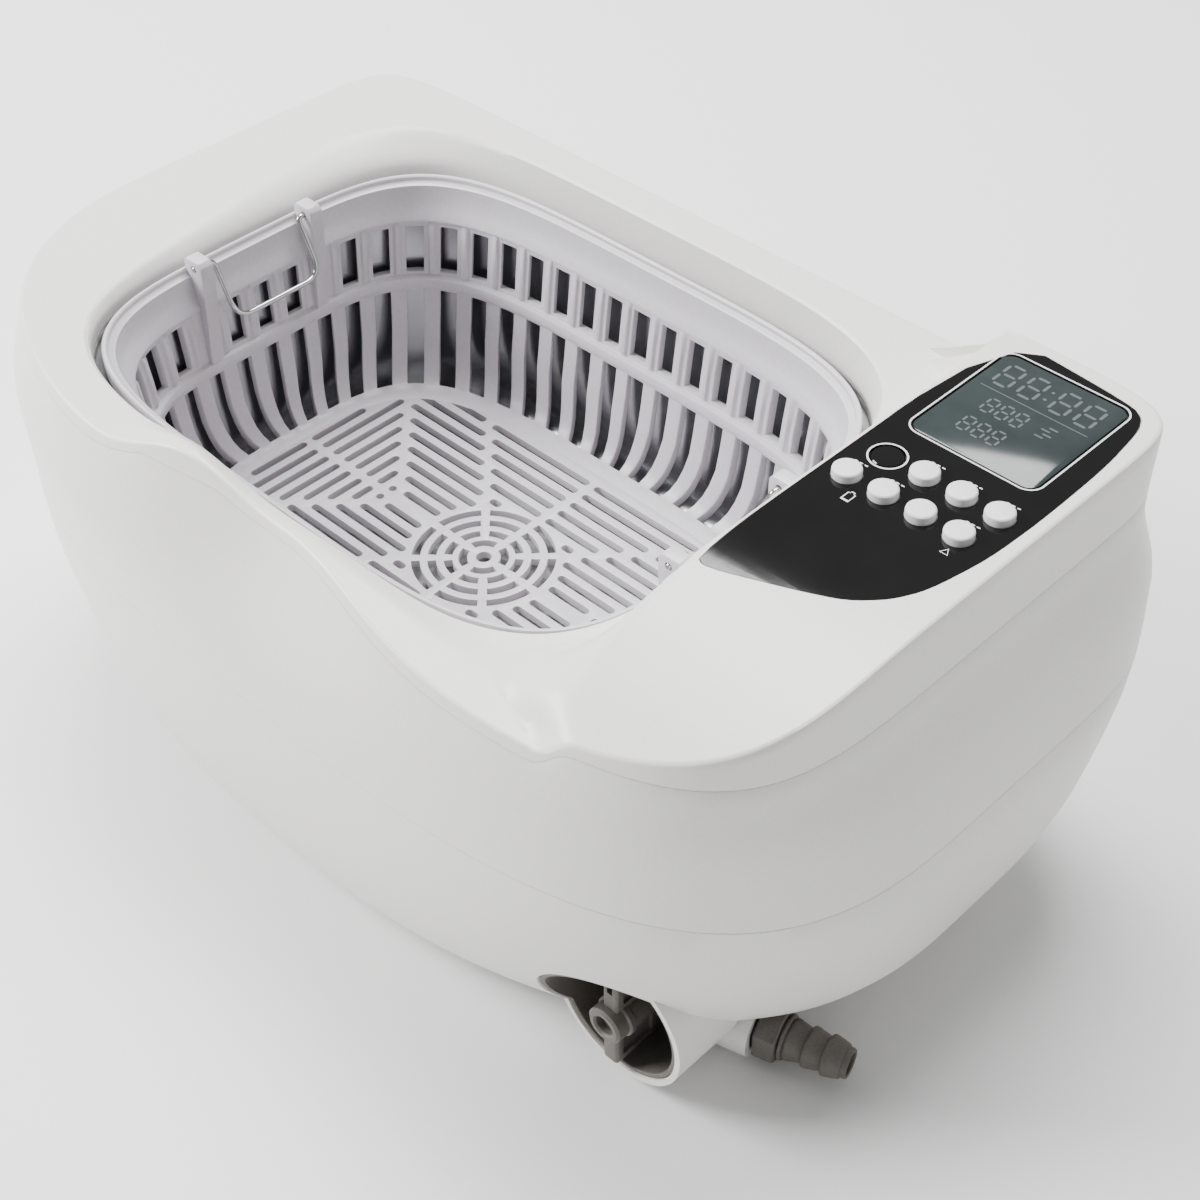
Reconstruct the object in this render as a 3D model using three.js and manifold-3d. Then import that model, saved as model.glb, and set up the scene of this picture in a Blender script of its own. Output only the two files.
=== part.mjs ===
// Ultrasonic cleaner: a bench-top cleaning tank with a slotted basket, a control deck and a drain valve.
// Millimetres, +Z up. The front (-Y) is the low, scooped side and the control deck is at the +X end.
import * as THREE from 'three';
import { mergeVertices } from 'three/addons/utils/BufferGeometryUtils.js';
import Module from 'manifold-3d';

const wasm = await Module();
wasm.setup();

// Driving dimensions
const GAP = 0.3; // clearance between pieces that touch
const WALL = 2.6; // thickness of the plastic shells
const FLOOR_Z = 67; // top of the basket's floor
const RIM_Z = FLOOR_Z + 80; // top of the basket's rim
const DECK_Z = FLOOR_Z + 108; // control deck
const SEAM_Z = 152.5; // highest line between the top cover and the upper housing
const LOWER_SEAM_Z = 96; // line between the two housings
const UNDERSIDE_Z = 3; // underside of the lower housing
const BASKET = { halfLength: 118, halfWidth: 88, power: 4.2 }; // outer edge of the basket's rim
const WELL_GAP = 2.6; // between the basket's rim and the cover around it
const SEGMENTS = 40; // facets round the shells, tank and basket

// The body's outline at each height: its reach to each side of the basket's centre,
// and how square each corner is (front-left, front-right, back-right, back-left).
const HULL = [
  { z: UNDERSIDE_Z, left: 150, right: 163, front: 99, back: 96, power: [2.6, 2.3, 3.2, 3.2] },
  { z: 10, left: 157, right: 178, front: 105, back: 103, power: [2.6, 2.3, 3.2, 3.4] },
  { z: 25, left: 165, right: 196, front: 110, back: 109, power: [2.6, 2.4, 3.6, 3.8] },
  { z: 50, left: 173, right: 209, front: 115, back: 114, power: [2.6, 2.6, 4.4, 4.4] },
  { z: 85, left: 178, right: 211, front: 118, back: 116, power: [2.6, 3, 6, 5] },
  { z: 120, left: 176, right: 207, front: 118, back: 115, power: [2.6, 3.4, 8, 7] },
  { z: 148, left: 169, right: 199, front: 110, back: 106.5, power: [2.6, 4.4, 11, 12] },
  { z: 176, left: 161, right: 197, front: 104, back: 105, power: [2.6, 5, 15, 16] },
];
const SCOOP = { x: 15, reach: 48, depth: 12, from: 100, to: 148 }; // where the front leans in, for lifting the basket
const LEFT_END = { turn: 0.07, reach: 150, from: 90, to: 150 }; // the left end is turned a little towards the front

// Colours and surfaces
const plastic = (color, roughness) => new THREE.MeshStandardMaterial({ color, roughness, metalness: 0 });
const metal = (color, roughness) => new THREE.MeshStandardMaterial({ color, roughness, metalness: 1 });
const shellWhite = plastic(0xe8e8e6, 0.45);
const basketLilac = plastic(0xc8c3c6, 0.4);
const buttonWhite = plastic(0xe4e4e4, 0.5);
const valveGrey = plastic(0x6e6a64, 0.5);
const panelBlack = plastic(0x0c0c0c, 0.12);
const screenGrey = plastic(0x323a3a, 0.2);
const boardGreen = plastic(0x1f5a3a, 0.6);
const rubberBlack = plastic(0x1c1c1c, 0.9);
const siliconeGrey = plastic(0x9a9a98, 0.8);
const stainless = metal(0xb9bbbd, 0.25);
const darkIron = metal(0x55585a, 0.5);

// ---- Solids ----

function toSolid(geometry) {
  const bare = geometry.clone();
  for (const name of Object.keys(bare.attributes)) {
    if (name !== 'position') bare.deleteAttribute(name);
  }
  const merged = mergeVertices(bare, 1e-4);
  return new wasm.Manifold(new wasm.Mesh({
    numProp: 3,
    vertProperties: new Float32Array(merged.attributes.position.array),
    triVerts: new Uint32Array(merged.index.array),
  }));
}

function toGeometry(solid) {
  const mesh = solid.getMesh();
  const geometry = new THREE.BufferGeometry();
  geometry.setAttribute('position', new THREE.BufferAttribute(new Float32Array(mesh.vertProperties), 3));
  geometry.setIndex(new THREE.BufferAttribute(new Uint32Array(mesh.triVerts), 1));
  return geometry;
}

const joined = (solids) => solids.reduce((whole, solid) => whole.add(solid));

function box(width, depth, height, x, y, z, turn = 0) {
  const geometry = new THREE.BoxGeometry(width, depth, height);
  geometry.rotateZ(turn).translate(x, y, z + height / 2);
  return toSolid(geometry);
}

// A cylinder along +Z that starts at (x, y, z)
function disc(radius, height, x, y, z, sides = 24) {
  const geometry = new THREE.CylinderGeometry(radius, radius, height, sides);
  geometry.rotateX(Math.PI / 2).translate(x, y, z + height / 2);
  return toSolid(geometry);
}

// A cylinder between two points, with its own radius at each end
function rod(start, end, startRadius, endRadius, sides = 24) {
  const from = new THREE.Vector3(...start);
  const along = new THREE.Vector3(...end).sub(from);
  const geometry = new THREE.CylinderGeometry(endRadius, startRadius, along.length(), sides);
  geometry.translate(0, along.length() / 2, 0);
  geometry.applyQuaternion(new THREE.Quaternion().setFromUnitVectors(new THREE.Vector3(0, 1, 0), along.normalize()));
  geometry.translate(from.x, from.y, from.z);
  return toSolid(geometry);
}

function plate(shape, z, thickness, curveSegments = 8) {
  const geometry = new THREE.ExtrudeGeometry(shape, { depth: thickness, bevelEnabled: false, curveSegments });
  geometry.translate(0, 0, z);
  return toSolid(geometry);
}

function polygon(points) {
  return new THREE.Shape(points.map(([x, y]) => new THREE.Vector2(x, y)));
}

// ---- Outlines that are the same on all four sides, or different on each ----

function even(halfLength, halfWidth, z, power = BASKET.power) {
  return { z, left: halfLength, right: halfLength, front: halfWidth, back: halfWidth, power: Array(4).fill(power) };
}

function outlinePoint(section, angle) {
  const c = Math.round(Math.cos(angle) * 1e6) / 1e6;
  const s = Math.round(Math.sin(angle) * 1e6) / 1e6;
  const corner = s < 0 ? (c < 0 ? 0 : 1) : (c < 0 ? 3 : 2);
  const reach = 2 / section.power[corner];
  const x = (section.right - section.left) / 2
    + ((section.right + section.left) / 2) * Math.sign(c) * Math.abs(c) ** reach;
  const y = (section.back - section.front) / 2
    + ((section.back + section.front) / 2) * Math.sign(s) * Math.abs(s) ** reach;
  return [x, y];
}

// How far the front of the body leans in towards the basket
function scoopDepth(x, z) {
  const across = Math.exp(-(((x - SCOOP.x) / SCOOP.reach) ** 2));
  return SCOOP.depth * across * THREE.MathUtils.smoothstep(z, SCOOP.from, SCOOP.to);
}

// How far the left end stands out at the front and back of its upper part
function endShift(x, y, z) {
  const leftness = THREE.MathUtils.smoothstep(-x, 0, LEFT_END.reach);
  return LEFT_END.turn * y * leftness * THREE.MathUtils.smoothstep(z, LEFT_END.from, LEFT_END.to);
}

// A closed solid through a stack of outlines, flat at the bottom and at the top
function loft(sections, shaped = false) {
  const rows = sections.length - 1;
  const geometry = new THREE.CylinderGeometry(1, 1, 1, SEGMENTS, rows);
  const position = geometry.attributes.position;
  for (let i = 0; i < position.count; i += 1) {
    const row = Math.round((position.getY(i) + 0.5) * rows);
    const x = position.getX(i);
    const y = -position.getZ(i);
    const section = sections[row];
    if (Math.hypot(x, y) < 0.5) {
      position.setXYZ(i, 0, 0, section.z);
    } else {
      const [px, py] = outlinePoint(section, Math.atan2(y, x));
      const lean = shaped && py < -40 ? scoopDepth(px, section.z) : 0;
      const shift = shaped ? endShift(px, py, section.z) : 0;
      position.setXYZ(i, px + shift, py + lean, section.z);
    }
  }
  return toSolid(geometry);
}

const grow = (section, by, rise = 0) => ({
  z: section.z + rise,
  left: section.left + by,
  right: section.right + by,
  front: section.front + by,
  back: section.back + by,
  power: section.power,
});

// Where a height surface has its facets: closest together at the front lip and at the edge of the deck
const COLUMNS = [-240, -95, -60, -42, -22, -4, 20, 45, 70, 105, 120, 125, 128.5, 132, 137, 143, 150, 175, 260];
const ROWS = [-150, -108, -100, -92, -84, -70, -55, -35, -20, 150];

// Everything under a surface that is given as a height over x and y
function under(height) {
  const columns = COLUMNS.length - 1;
  const rows = ROWS.length - 1;
  const geometry = new THREE.BoxGeometry(columns, rows, 1, columns, rows, 1);
  const position = geometry.attributes.position;
  for (let i = 0; i < position.count; i += 1) {
    const x = COLUMNS[Math.round(position.getX(i) + columns / 2)];
    const y = ROWS[Math.round(position.getY(i) + rows / 2)];
    position.setXYZ(i, x, y, position.getZ(i) > 0 ? height(x, y) : -20);
  }
  return toSolid(geometry);
}

const level = (z) => () => z;
const smooth = (value, from, to) => THREE.MathUtils.smoothstep(value, from, to);
const mix = THREE.MathUtils.lerp;

// ---- The top surface of the body ----

const DECK_EDGE = 133; // where the control deck starts

function topHeight(x, y) {
  const rim = 154 + 0.05 * y;
  const crest = 10.5 * Math.exp(-(((x + 22) / 24) ** 2)) + 5.2 * Math.exp(-(((x - 45) / 38) ** 2));
  const low = rim + crest * smooth(-y, 84, 97);
  const fall = Math.max(0, -20 - y);
  const deck = DECK_Z - 0.0028 * fall ** 2;
  const outward = smooth(-y, 92, 107);
  const rampStart = DECK_EDGE - 8 - 20 * smooth(-y, 55, 88) + 32 * outward;
  const rampEnd = DECK_EDGE + 5 * smooth(-y, 55, 90) + 12 * outward;
  return mix(low, deck, smooth(x, rampStart, rampEnd));
}

const seamHeight = (x, y) => Math.min(SEAM_Z, topHeight(x, y) - 4);

const hull = loft(HULL, true);
const hullInside = loft(HULL.map((section) => grow(section, -WALL)), true);

// The opening over the tank flares outwards as it rises
const well = loft([
  even(BASKET.halfLength + WELL_GAP, BASKET.halfWidth + WELL_GAP, 130),
  even(BASKET.halfLength + WELL_GAP, BASKET.halfWidth + WELL_GAP, RIM_Z),
  { ...even(125, 93, 162), left: 143, front: 92 },
  { ...even(130, 96, 182), left: 160, front: 94 },
]);
const wellWall = loft([
  even(BASKET.halfLength + WELL_GAP + WALL, BASKET.halfWidth + WELL_GAP + WALL, 143),
  even(BASKET.halfLength + WELL_GAP + WALL, BASKET.halfWidth + WELL_GAP + WALL, RIM_Z),
  { ...even(125 + WALL, 93 + WALL, 162), left: 143 + WALL, front: 92 + WALL },
  { ...even(130 + WALL, 96 + WALL, 182), left: 160 + WALL, front: 94 + WALL },
]);

// ---- Control deck ----

const OVERLAY = { thickness: 0.8 };
const overlayOutline = polygon([
  [DECK_EDGE + 0.6, 101.5], [182, 97], [187.5, 93.5], [190, 88], [192.5, 67], [193, 35], [192, 12],
  [188, -9], [183, -19], [175, -27], [162, -33], [138, -42], [DECK_EDGE + 0.6, -40],
]);
const SCREEN = { x: 162, y: 69, width: 44, depth: 50, corner: 4 };
const BUTTON = { radius: 4.5, flange: 5.5, travel: 1.2, proud: 2.6 };
const buttonPlaces = [
  [141.4, 14.3], [154.5, 14.3], [167.6, 14.3], [180.7, 14.3],
  [158, 28.6], [171, 28.6], [184, 28.6],
];
const LAMP = { x: 144.8, y: 28.6, radius: 5 };

function roundedRectangle(centreX, centreY, width, depth, corner) {
  const shape = new THREE.Shape();
  const x = centreX - width / 2;
  const y = centreY - depth / 2;
  shape.moveTo(x + corner, y);
  shape.lineTo(x + width - corner, y);
  shape.absarc(x + width - corner, y + corner, corner, -Math.PI / 2, 0);
  shape.absarc(x + width - corner, y + depth - corner, corner, 0, Math.PI / 2);
  shape.absarc(x + corner, y + depth - corner, corner, Math.PI / 2, Math.PI);
  shape.absarc(x + corner, y + corner, corner, Math.PI, Math.PI * 1.5);
  return shape;
}

const screenOutline = (by) => roundedRectangle(
  SCREEN.x, SCREEN.y, SCREEN.width + 2 * by, SCREEN.depth + 2 * by, SCREEN.corner + by,
);
const deckHoles = joined([
  ...buttonPlaces.map(([x, y]) => disc(BUTTON.radius + GAP, 20, x, y, DECK_Z - 12, 16)),
  disc(LAMP.radius + GAP, 20, LAMP.x, LAMP.y, DECK_Z - 12, 16),
  plate(screenOutline(GAP), DECK_Z - 12, 20, 3),
]);

function overlaySolid(grownBy, thickness) {
  return plate(overlayOutline, 140, 60)
    .intersect(under((x, y) => topHeight(x, y) + grownBy))
    .subtract(under((x, y) => topHeight(x, y) - thickness));
}

function topCover() {
  const outside = hull.intersect(under(topHeight)).subtract(under(seamHeight));
  const hollow = hullInside.intersect(under((x, y) => topHeight(x, y) - WALL));
  const flared = wellWall.intersect(under(topHeight));
  return outside
    .subtract(hollow)
    .add(flared)
    .subtract(well)
    .subtract(overlaySolid(5, OVERLAY.thickness + GAP))
    .subtract(deckHoles);
}

function panelOverlay() {
  const inset = loft(HULL.map((section) => grow(section, -2)), true);
  return overlaySolid(0, OVERLAY.thickness).intersect(inset).subtract(deckHoles);
}

function button(x, y) {
  const bottom = DECK_Z - WALL - GAP - 1.4;
  const profile = [
    [0, bottom], [BUTTON.flange, bottom], [BUTTON.flange, bottom + 1], [BUTTON.radius, bottom + 1],
    [BUTTON.radius, DECK_Z + BUTTON.proud], [0, DECK_Z + BUTTON.proud],
  ];
  const geometry = new THREE.LatheGeometry(profile.map(([r, z]) => new THREE.Vector2(r, z)), 14);
  geometry.rotateX(Math.PI / 2).translate(x, y, 0);
  return toSolid(geometry);
}

// ---- Housings ----

const VALVE = { x: 149, z: 28, bore: 24, wall: 2.6, mouth: -88, floor: -64 };
const DRAIN = { start: [176, -50.5, 11], elbow: [149, -50, 15], turn: THREE.MathUtils.degToRad(16) };
const drainPoint = (along) => [
  DRAIN.start[0] + along * Math.cos(DRAIN.turn),
  DRAIN.start[1] + along * Math.sin(DRAIN.turn),
  DRAIN.start[2],
];
const INLET = { x: 120, z: 62, width: 27, height: 20 };
const FEET = [[-105, -58], [125, -48], [125, 58], [-105, 58]];
const SCREWS = [[-92, -46], [108, -46], [108, 46], [-92, 46]];

const alongY = (radius, fromY, toY, sides = 32) => rod(
  [VALVE.x, fromY, VALVE.z], [VALVE.x, toY, VALVE.z], radius, radius, sides,
);
const drum = alongY(VALVE.bore + VALVE.wall - 0.6, VALVE.mouth, VALVE.floor + 3, 40);
const pocket = alongY(VALVE.bore, -140, VALVE.floor, 40);

function upperHousing() {
  return hull
    .intersect(under((x, y) => seamHeight(x, y) - GAP))
    .subtract(under(level(LOWER_SEAM_Z)))
    .subtract(hullInside);
}

function lowerHousing() {
  const tub = hull.intersect(under(level(LOWER_SEAM_Z - GAP)));
  const hollow = hullInside.subtract(under(level(UNDERSIDE_Z + WALL)));
  const neck = rod(drainPoint(-22), drainPoint(-0.4), 10.6, 10.6);
  const channel = rod(DRAIN.elbow, drainPoint(-10), 6, 6);
  const outlet = rod(drainPoint(-13), drainPoint(40), 7.3, 7.3);
  const outletSeat = rod(drainPoint(-1), drainPoint(40), 13, 13);
  return tub
    .subtract(hollow)
    .add(drum)
    .add(neck)
    .subtract(pocket)
    .subtract(channel)
    .subtract(alongY(10.4, VALVE.floor + 3, -20))
    .subtract(alongY(7, -80, -40))
    .subtract(outletSeat)
    .subtract(outlet)
    .subtract(box(170, 80, 10, 8, 0, 0))
    .subtract(box(INLET.width + 0.6, 40, INLET.height + 0.6, INLET.x, 110, INLET.z - INLET.height / 2 - 0.3))
    .subtract(joined(SCREWS.map(([x, y]) => disc(1.9, 10, x, y, 0, 12))));
}

function basePlate() {
  const holes = SCREWS.map(([x, y]) => disc(1.9, 10, x, y, 0, 12));
  return plate(roundedRectangle(8, 0, 216, 106, 8), 1.5, 1.2, 4).subtract(joined(holes));
}

function screw(x, y) {
  return disc(3.2, 1, x, y, 0.3, 12).add(disc(1.5, 9, x, y, 1.2, 12));
}

function foot(x, y) {
  const profile = [[0, 0], [8, 0], [9, 1], [9, UNDERSIDE_Z - GAP], [0, UNDERSIDE_Z - GAP]];
  const geometry = new THREE.LatheGeometry(profile.map(([r, z]) => new THREE.Vector2(r, z)), 16);
  geometry.rotateX(Math.PI / 2).translate(x, y, 0);
  return toSolid(geometry);
}

// ---- Tank and what hangs under it ----

const TANK = { bottom: 55, sheet: 1, flangeZ: 139.8 };
const tankSections = [
  even(107, 72, TANK.bottom),
  even(112, 77.5, TANK.bottom + 3),
  even(114.6, 81, TANK.bottom + 12),
  even(117, 87, TANK.flangeZ + TANK.sheet),
];
const OUTLET = { x: 84, y: -44 };
const HORNS = [-48, 48];
const HEATER_Z = TANK.bottom - GAP - 1.6;

function tank() {
  const outside = loft(tankSections);
  const flange = loft([even(127, 97, TANK.flangeZ), even(127, 97, TANK.flangeZ + TANK.sheet)]);
  const inside = loft([
    ...tankSections.map((section) => grow(section, -TANK.sheet, section.z < 100 ? TANK.sheet : 0)),
    even(116, 86, TANK.flangeZ + 10),
  ]);
  return outside.add(flange).subtract(inside).subtract(disc(6, 20, OUTLET.x, OUTLET.y, 45, 16));
}

function tankGasket() {
  const bottom = TANK.flangeZ + TANK.sheet + GAP;
  const top = 143 - GAP;
  const outer = BASKET.halfLength + WELL_GAP + WALL;
  const across = outer - BASKET.halfLength + BASKET.halfWidth;
  return loft([even(outer, across, bottom), even(outer, across, top)])
    .subtract(loft([even(outer - WALL, across - WALL, bottom - 5), even(outer - WALL, across - WALL, top + 5)]));
}

function heaterPad() {
  const holes = HORNS.map((x) => disc(25, 20, x, 0, HEATER_Z - 5, 24));
  return plate(roundedRectangle(0, 0, 176, 104, 10), HEATER_Z, 1.6, 4)
    .subtract(joined(holes))
    .subtract(disc(9, 20, OUTLET.x, OUTLET.y, HEATER_Z - 5, 16));
}

function transducer(x) {
  const top = TANK.bottom - GAP;
  const profile = [
    [0, top], [23, top], [23, top - 3], [15, top - 20], [15, top - 21], [17.5, top - 21], [17.5, top - 33],
    [15, top - 33], [15, top - 42], [0, top - 42],
  ].reverse();
  const geometry = new THREE.LatheGeometry(profile.map(([r, z]) => new THREE.Vector2(r, z)), 20);
  geometry.rotateX(Math.PI / 2).translate(x, 0, 0);
  return toSolid(geometry);
}

// ---- Drain line ----

function tubeAlong(points, radius, bore, steps, sides = 12) {
  const ring = new THREE.Shape().absarc(0, 0, radius, 0, Math.PI * 2);
  if (bore > 0) ring.holes.push(new THREE.Path().absarc(0, 0, bore, 0, Math.PI * 2));
  const path = new THREE.CatmullRomCurve3(points.map((point) => new THREE.Vector3(...point)), false, 'centripetal');
  const geometry = new THREE.ExtrudeGeometry(ring, { steps, extrudePath: path, curveSegments: sides });
  return toSolid(geometry);
}

function drainElbow() {
  const stub = rod([OUTLET.x, OUTLET.y, 36], [OUTLET.x, OUTLET.y, TANK.bottom - GAP], 5.4, 5.4, 16);
  const collar = disc(8, 3, OUTLET.x, OUTLET.y, TANK.bottom - GAP - 3, 16);
  const barb = rod([OUTLET.x, OUTLET.y, 40], [OUTLET.x + 18, OUTLET.y, 40], 5.2, 4.8, 16);
  return stub.add(collar).add(barb)
    .subtract(rod([OUTLET.x, OUTLET.y, 40], [OUTLET.x, OUTLET.y, 60], 3.6, 3.6, 12))
    .subtract(rod([OUTLET.x, OUTLET.y, 40], [OUTLET.x + 30, OUTLET.y, 40], 3.2, 3.2, 12));
}

function drainHose() {
  return tubeAlong(
    [[OUTLET.x + 9, OUTLET.y, 40], [OUTLET.x + 20, OUTLET.y, 40], [116, -42, 35], [126, -42, 28.6], [132, -42, 28], [138.5, -42, 28]],
    7.6, 5.6, 10, 6,
  );
}

function valveBody() {
  const body = alongY(10, VALVE.floor + 3 + GAP, -30, 20);
  const inlet = rod([130, -42, VALVE.z], [VALVE.x, -42, VALVE.z], 5, 5, 16);
  const outlet = rod(DRAIN.elbow, drainPoint(-11), 5, 5, 16);
  const bore = rod([120, -42, VALVE.z], [VALVE.x, -42, VALVE.z], 3.2, 3.2, 12);
  return body.add(inlet).add(outlet).subtract(bore);
}

function valveDish() {
  const cup = alongY(VALVE.bore - GAP, -140, VALVE.floor - GAP, 40);
  const inside = alongY(VALVE.bore - GAP - 1.6, -150, VALVE.floor - GAP - 2, 40);
  const reach = loft(HULL.map((section) => grow(section, -0.6)), true);
  const skin = reach.add(alongY(VALVE.bore + 1, VALVE.mouth + 0.6, VALVE.floor, 40));
  return cup.intersect(skin).subtract(inside).subtract(alongY(5.3, -90, -40));
}

const KNOB = { radius: 20, hub: 6.5, tip: -94, base: -69 };

function valveKnob() {
  const hub = alongY(KNOB.hub, KNOB.tip, KNOB.base, 20);
  const stem = alongY(4.8, KNOB.base - 2, VALVE.floor + 3, 16);
  const grip = box(6, 21, 2 * KNOB.radius, VALVE.x, KNOB.base - 11.5, VALVE.z - KNOB.radius);
  const disk = alongY(13, KNOB.base - 4, KNOB.base, 24);
  const eye = alongY(3.6, KNOB.tip - 5, KNOB.tip + 7, 16);
  return hub.add(stem).add(grip).add(disk).subtract(eye);
}

function hoseNut() {
  return rod(drainPoint(0), drainPoint(7.5), 9.6, 9.6, 6)
    .subtract(rod(drainPoint(-5), drainPoint(20), 5.4, 5.4, 16));
}

function hoseBarb() {
  const ridges = [9, 15.5, 22].map((along) => rod(drainPoint(along), drainPoint(along + 6), 6.9, 5.8, 12));
  return rod(drainPoint(-7.5), drainPoint(30), 5.1, 5.1, 12)
    .add(joined(ridges))
    .add(rod(drainPoint(7.9), drainPoint(9.2), 7.6, 7.6, 12))
    .subtract(rod(drainPoint(4), drainPoint(40), 4, 4, 12));
}

// ---- Electronics ----

const mainBoard = () => box(1.6, 86, 70, 126, 17, 24).add(box(10, 26, 18, 131.5, -10, 52));
const transformer = () => box(34, 46, 38, 151, 36, 18).add(box(20, 30, 50, 151, 36, 12));
const displayBoard = () => box(48, 80, 1.6, 161, 46, DECK_Z - 11);
const lcdModule = () => box(48, 54, 6, SCREEN.x, SCREEN.y, DECK_Z - WALL - 6.6);
const displayWindow = () => plate(screenOutline(0), DECK_Z - WALL, WALL - 0.05, 3);
const indicatorLens = () => disc(LAMP.radius, 5, LAMP.x, LAMP.y, DECK_Z - 4.8, 16);

function inletSocket() {
  const y = 109;
  return box(INLET.width, 26, INLET.height, INLET.x, y - 11, INLET.z - INLET.height / 2)
    .subtract(box(INLET.width - 5, 17, INLET.height - 5, INLET.x, y - 3, INLET.z - INLET.height / 2 + 2.5))
    .add(joined([-7, 0, 7].map((x) => box(1.6, 14, 4, INLET.x + x, y - 9, INLET.z - 2))));
}

// ---- Basket ----

const basketOutside = [
  even(106, 68, FLOOR_Z - 3, 3.6),
  even(112, 75, FLOOR_Z + 4.9),
  even(113.4, 79.5, FLOOR_Z + 40),
  even(114.5, 85, RIM_Z - 5.9),
  even(118, 88, RIM_Z - 5.6),
  even(118, 88, RIM_Z),
];
const basketInside = [
  even(103, 65, FLOOR_Z, 3.6),
  even(109.4, 72.2, FLOOR_Z + 4.9),
  even(111.2, 77.3, FLOOR_Z + 40),
  even(112, 81, RIM_Z - 12),
  even(115.4, 85.4, RIM_Z - 2),
  even(115.4, 85.4, RIM_Z + 5),
];
const WALL_SLOT = { count: 52, width: 6, lower: [FLOOR_Z + 5, FLOOR_Z + 37.5], upper: [FLOOR_Z + 43, FLOOR_Z + 63] };
const FLOOR_SLOT = { pitch: 6.2, width: 3.1, apex: 44.5, spine: 1.5 };
const RING_SLOTS = [[7.4, 4], [12.6, 8], [18.3, 8], [24, 8]];
const EAR = { y: 24.5, thickness: 5.5, holeX: 111.6, holeZ: RIM_Z + 1.2 };

// Slots at equal steps round the wall, each one square to it
function wallSlots() {
  const section = even(113, 80, 0);
  const fine = 2000;
  const points = Array.from({ length: fine + 1 }, (_, i) => {
    const [x, y] = outlinePoint(section, (i / fine) * Math.PI * 2);
    return new THREE.Vector2(x, y);
  });
  const lengths = [0];
  for (let i = 1; i <= fine; i += 1) lengths.push(lengths[i - 1] + points[i].distanceTo(points[i - 1]));
  const slots = [];
  for (let k = 0; k < WALL_SLOT.count; k += 1) {
    const target = (k / WALL_SLOT.count) * lengths[fine];
    const i = Math.max(1, lengths.findIndex((length) => length >= target));
    const along = points[i].clone().sub(points[i - 1]);
    const turn = Math.atan2(along.y, along.x);
    const { x, y } = points[i];
    const besideEar = Math.abs(x) > 100 && Math.abs(Math.abs(y) - EAR.y) < EAR.thickness / 2 + WALL_SLOT.width / 2;
    const [low, lowTop] = WALL_SLOT.lower;
    const [high, highTop] = WALL_SLOT.upper;
    slots.push(box(WALL_SLOT.width, 26, lowTop - low, x, y, low, turn));
    if (!besideEar) slots.push(box(WALL_SLOT.width, 16, highTop - high, x, y, high, turn));
  }
  return slots;
}

function ringSlots() {
  const slots = [];
  for (const [radius, count] of RING_SLOTS) {
    const step = (Math.PI * 2) / count;
    const spoke = FLOOR_SLOT.width / radius;
    for (let k = 0; k < count; k += 1) {
      const from = k * step + spoke / 2;
      const to = (k + 1) * step - spoke / 2;
      const shape = new THREE.Shape();
      shape.absarc(0, 0, radius + FLOOR_SLOT.width / 2, from, to);
      shape.absarc(0, 0, radius - FLOOR_SLOT.width / 2, to, from, true);
      slots.push(plate(shape, FLOOR_Z - 10, 14, 2));
    }
  }
  slots.push(disc(2.8, 14, 0, 0, FLOOR_Z - 10, 12));
  return slots;
}

function straightSlots() {
  const { pitch, width, apex, spine } = FLOOR_SLOT;
  const slots = [];
  const cut = (fromX, toX, fromY, toY) => {
    for (const sideX of [-1, 1]) {
      for (const sideY of [-1, 1]) {
        slots.push(box(toX - fromX, toY - fromY, 14, (sideX * (fromX + toX)) / 2, (sideY * (fromY + toY)) / 2, FLOOR_Z - 10));
      }
    }
  };
  for (let x = apex + 7; x < 103; x += pitch) {
    const edge = 63 * (1 - (x / 104) ** 7) ** 0.5;
    cut(x - width / 2, x + width / 2, spine, Math.min(x - apex - 2.4, edge));
  }
  const ringEdge = 27.5;
  for (let y = 4.6; y < 64; y += pitch) {
    const inner = y < ringEdge ? Math.sqrt(ringEdge ** 2 - y ** 2) + 1 : spine;
    const outer = Math.min(y + apex - 2.4, 98);
    if (y - 2.2 - inner > 3) cut(inner, y - 2.2, y - width / 2, y + width / 2);
    cut(Math.max(y + 2.2, inner), outer, y - width / 2, y + width / 2);
  }
  return slots;
}

// The posts that hold a bail handle, tapered towards the belt
function ears() {
  const posts = [];
  for (const side of [-1, 1]) {
    for (const y of [-EAR.y, EAR.y]) {
      const outline = polygon([
        [112, FLOOR_Z + 40], [109.5, FLOOR_Z + 44], [107.4, RIM_Z - 4], [107.4, RIM_Z + 3], [109, RIM_Z + 4.6],
        [115.6, RIM_Z + 4.6], [117, RIM_Z + 3], [117, RIM_Z - 3], [113, RIM_Z - 10],
      ]);
      const geometry = new THREE.ExtrudeGeometry(outline, { depth: EAR.thickness, bevelEnabled: false });
      geometry.rotateX(Math.PI / 2).translate(0, y + EAR.thickness / 2, 0);
      if (side < 0) geometry.rotateZ(Math.PI).translate(0, 2 * y, 0);
      posts.push(toSolid(geometry));
    }
  }
  return posts;
}

const earHoles = () => [-1, 1].map((side) => rod(
  [side * EAR.holeX, -40, EAR.holeZ], [side * EAR.holeX, 40, EAR.holeZ], 1.35, 1.35, 12,
));

function basket() {
  return loft(basketOutside)
    .subtract(loft(basketInside))
    .add(joined(ears()))
    .subtract(joined([...wallSlots(), ...ringSlots(), ...straightSlots(), ...earHoles()]));
}

// A bail of bent wire, hanging inside the basket from its two holes
const BAIL = { wire: 0.95, leg: 22, legY: 18.9, end: 27.6, corner: 8, lean: THREE.MathUtils.degToRad(27) };

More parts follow.
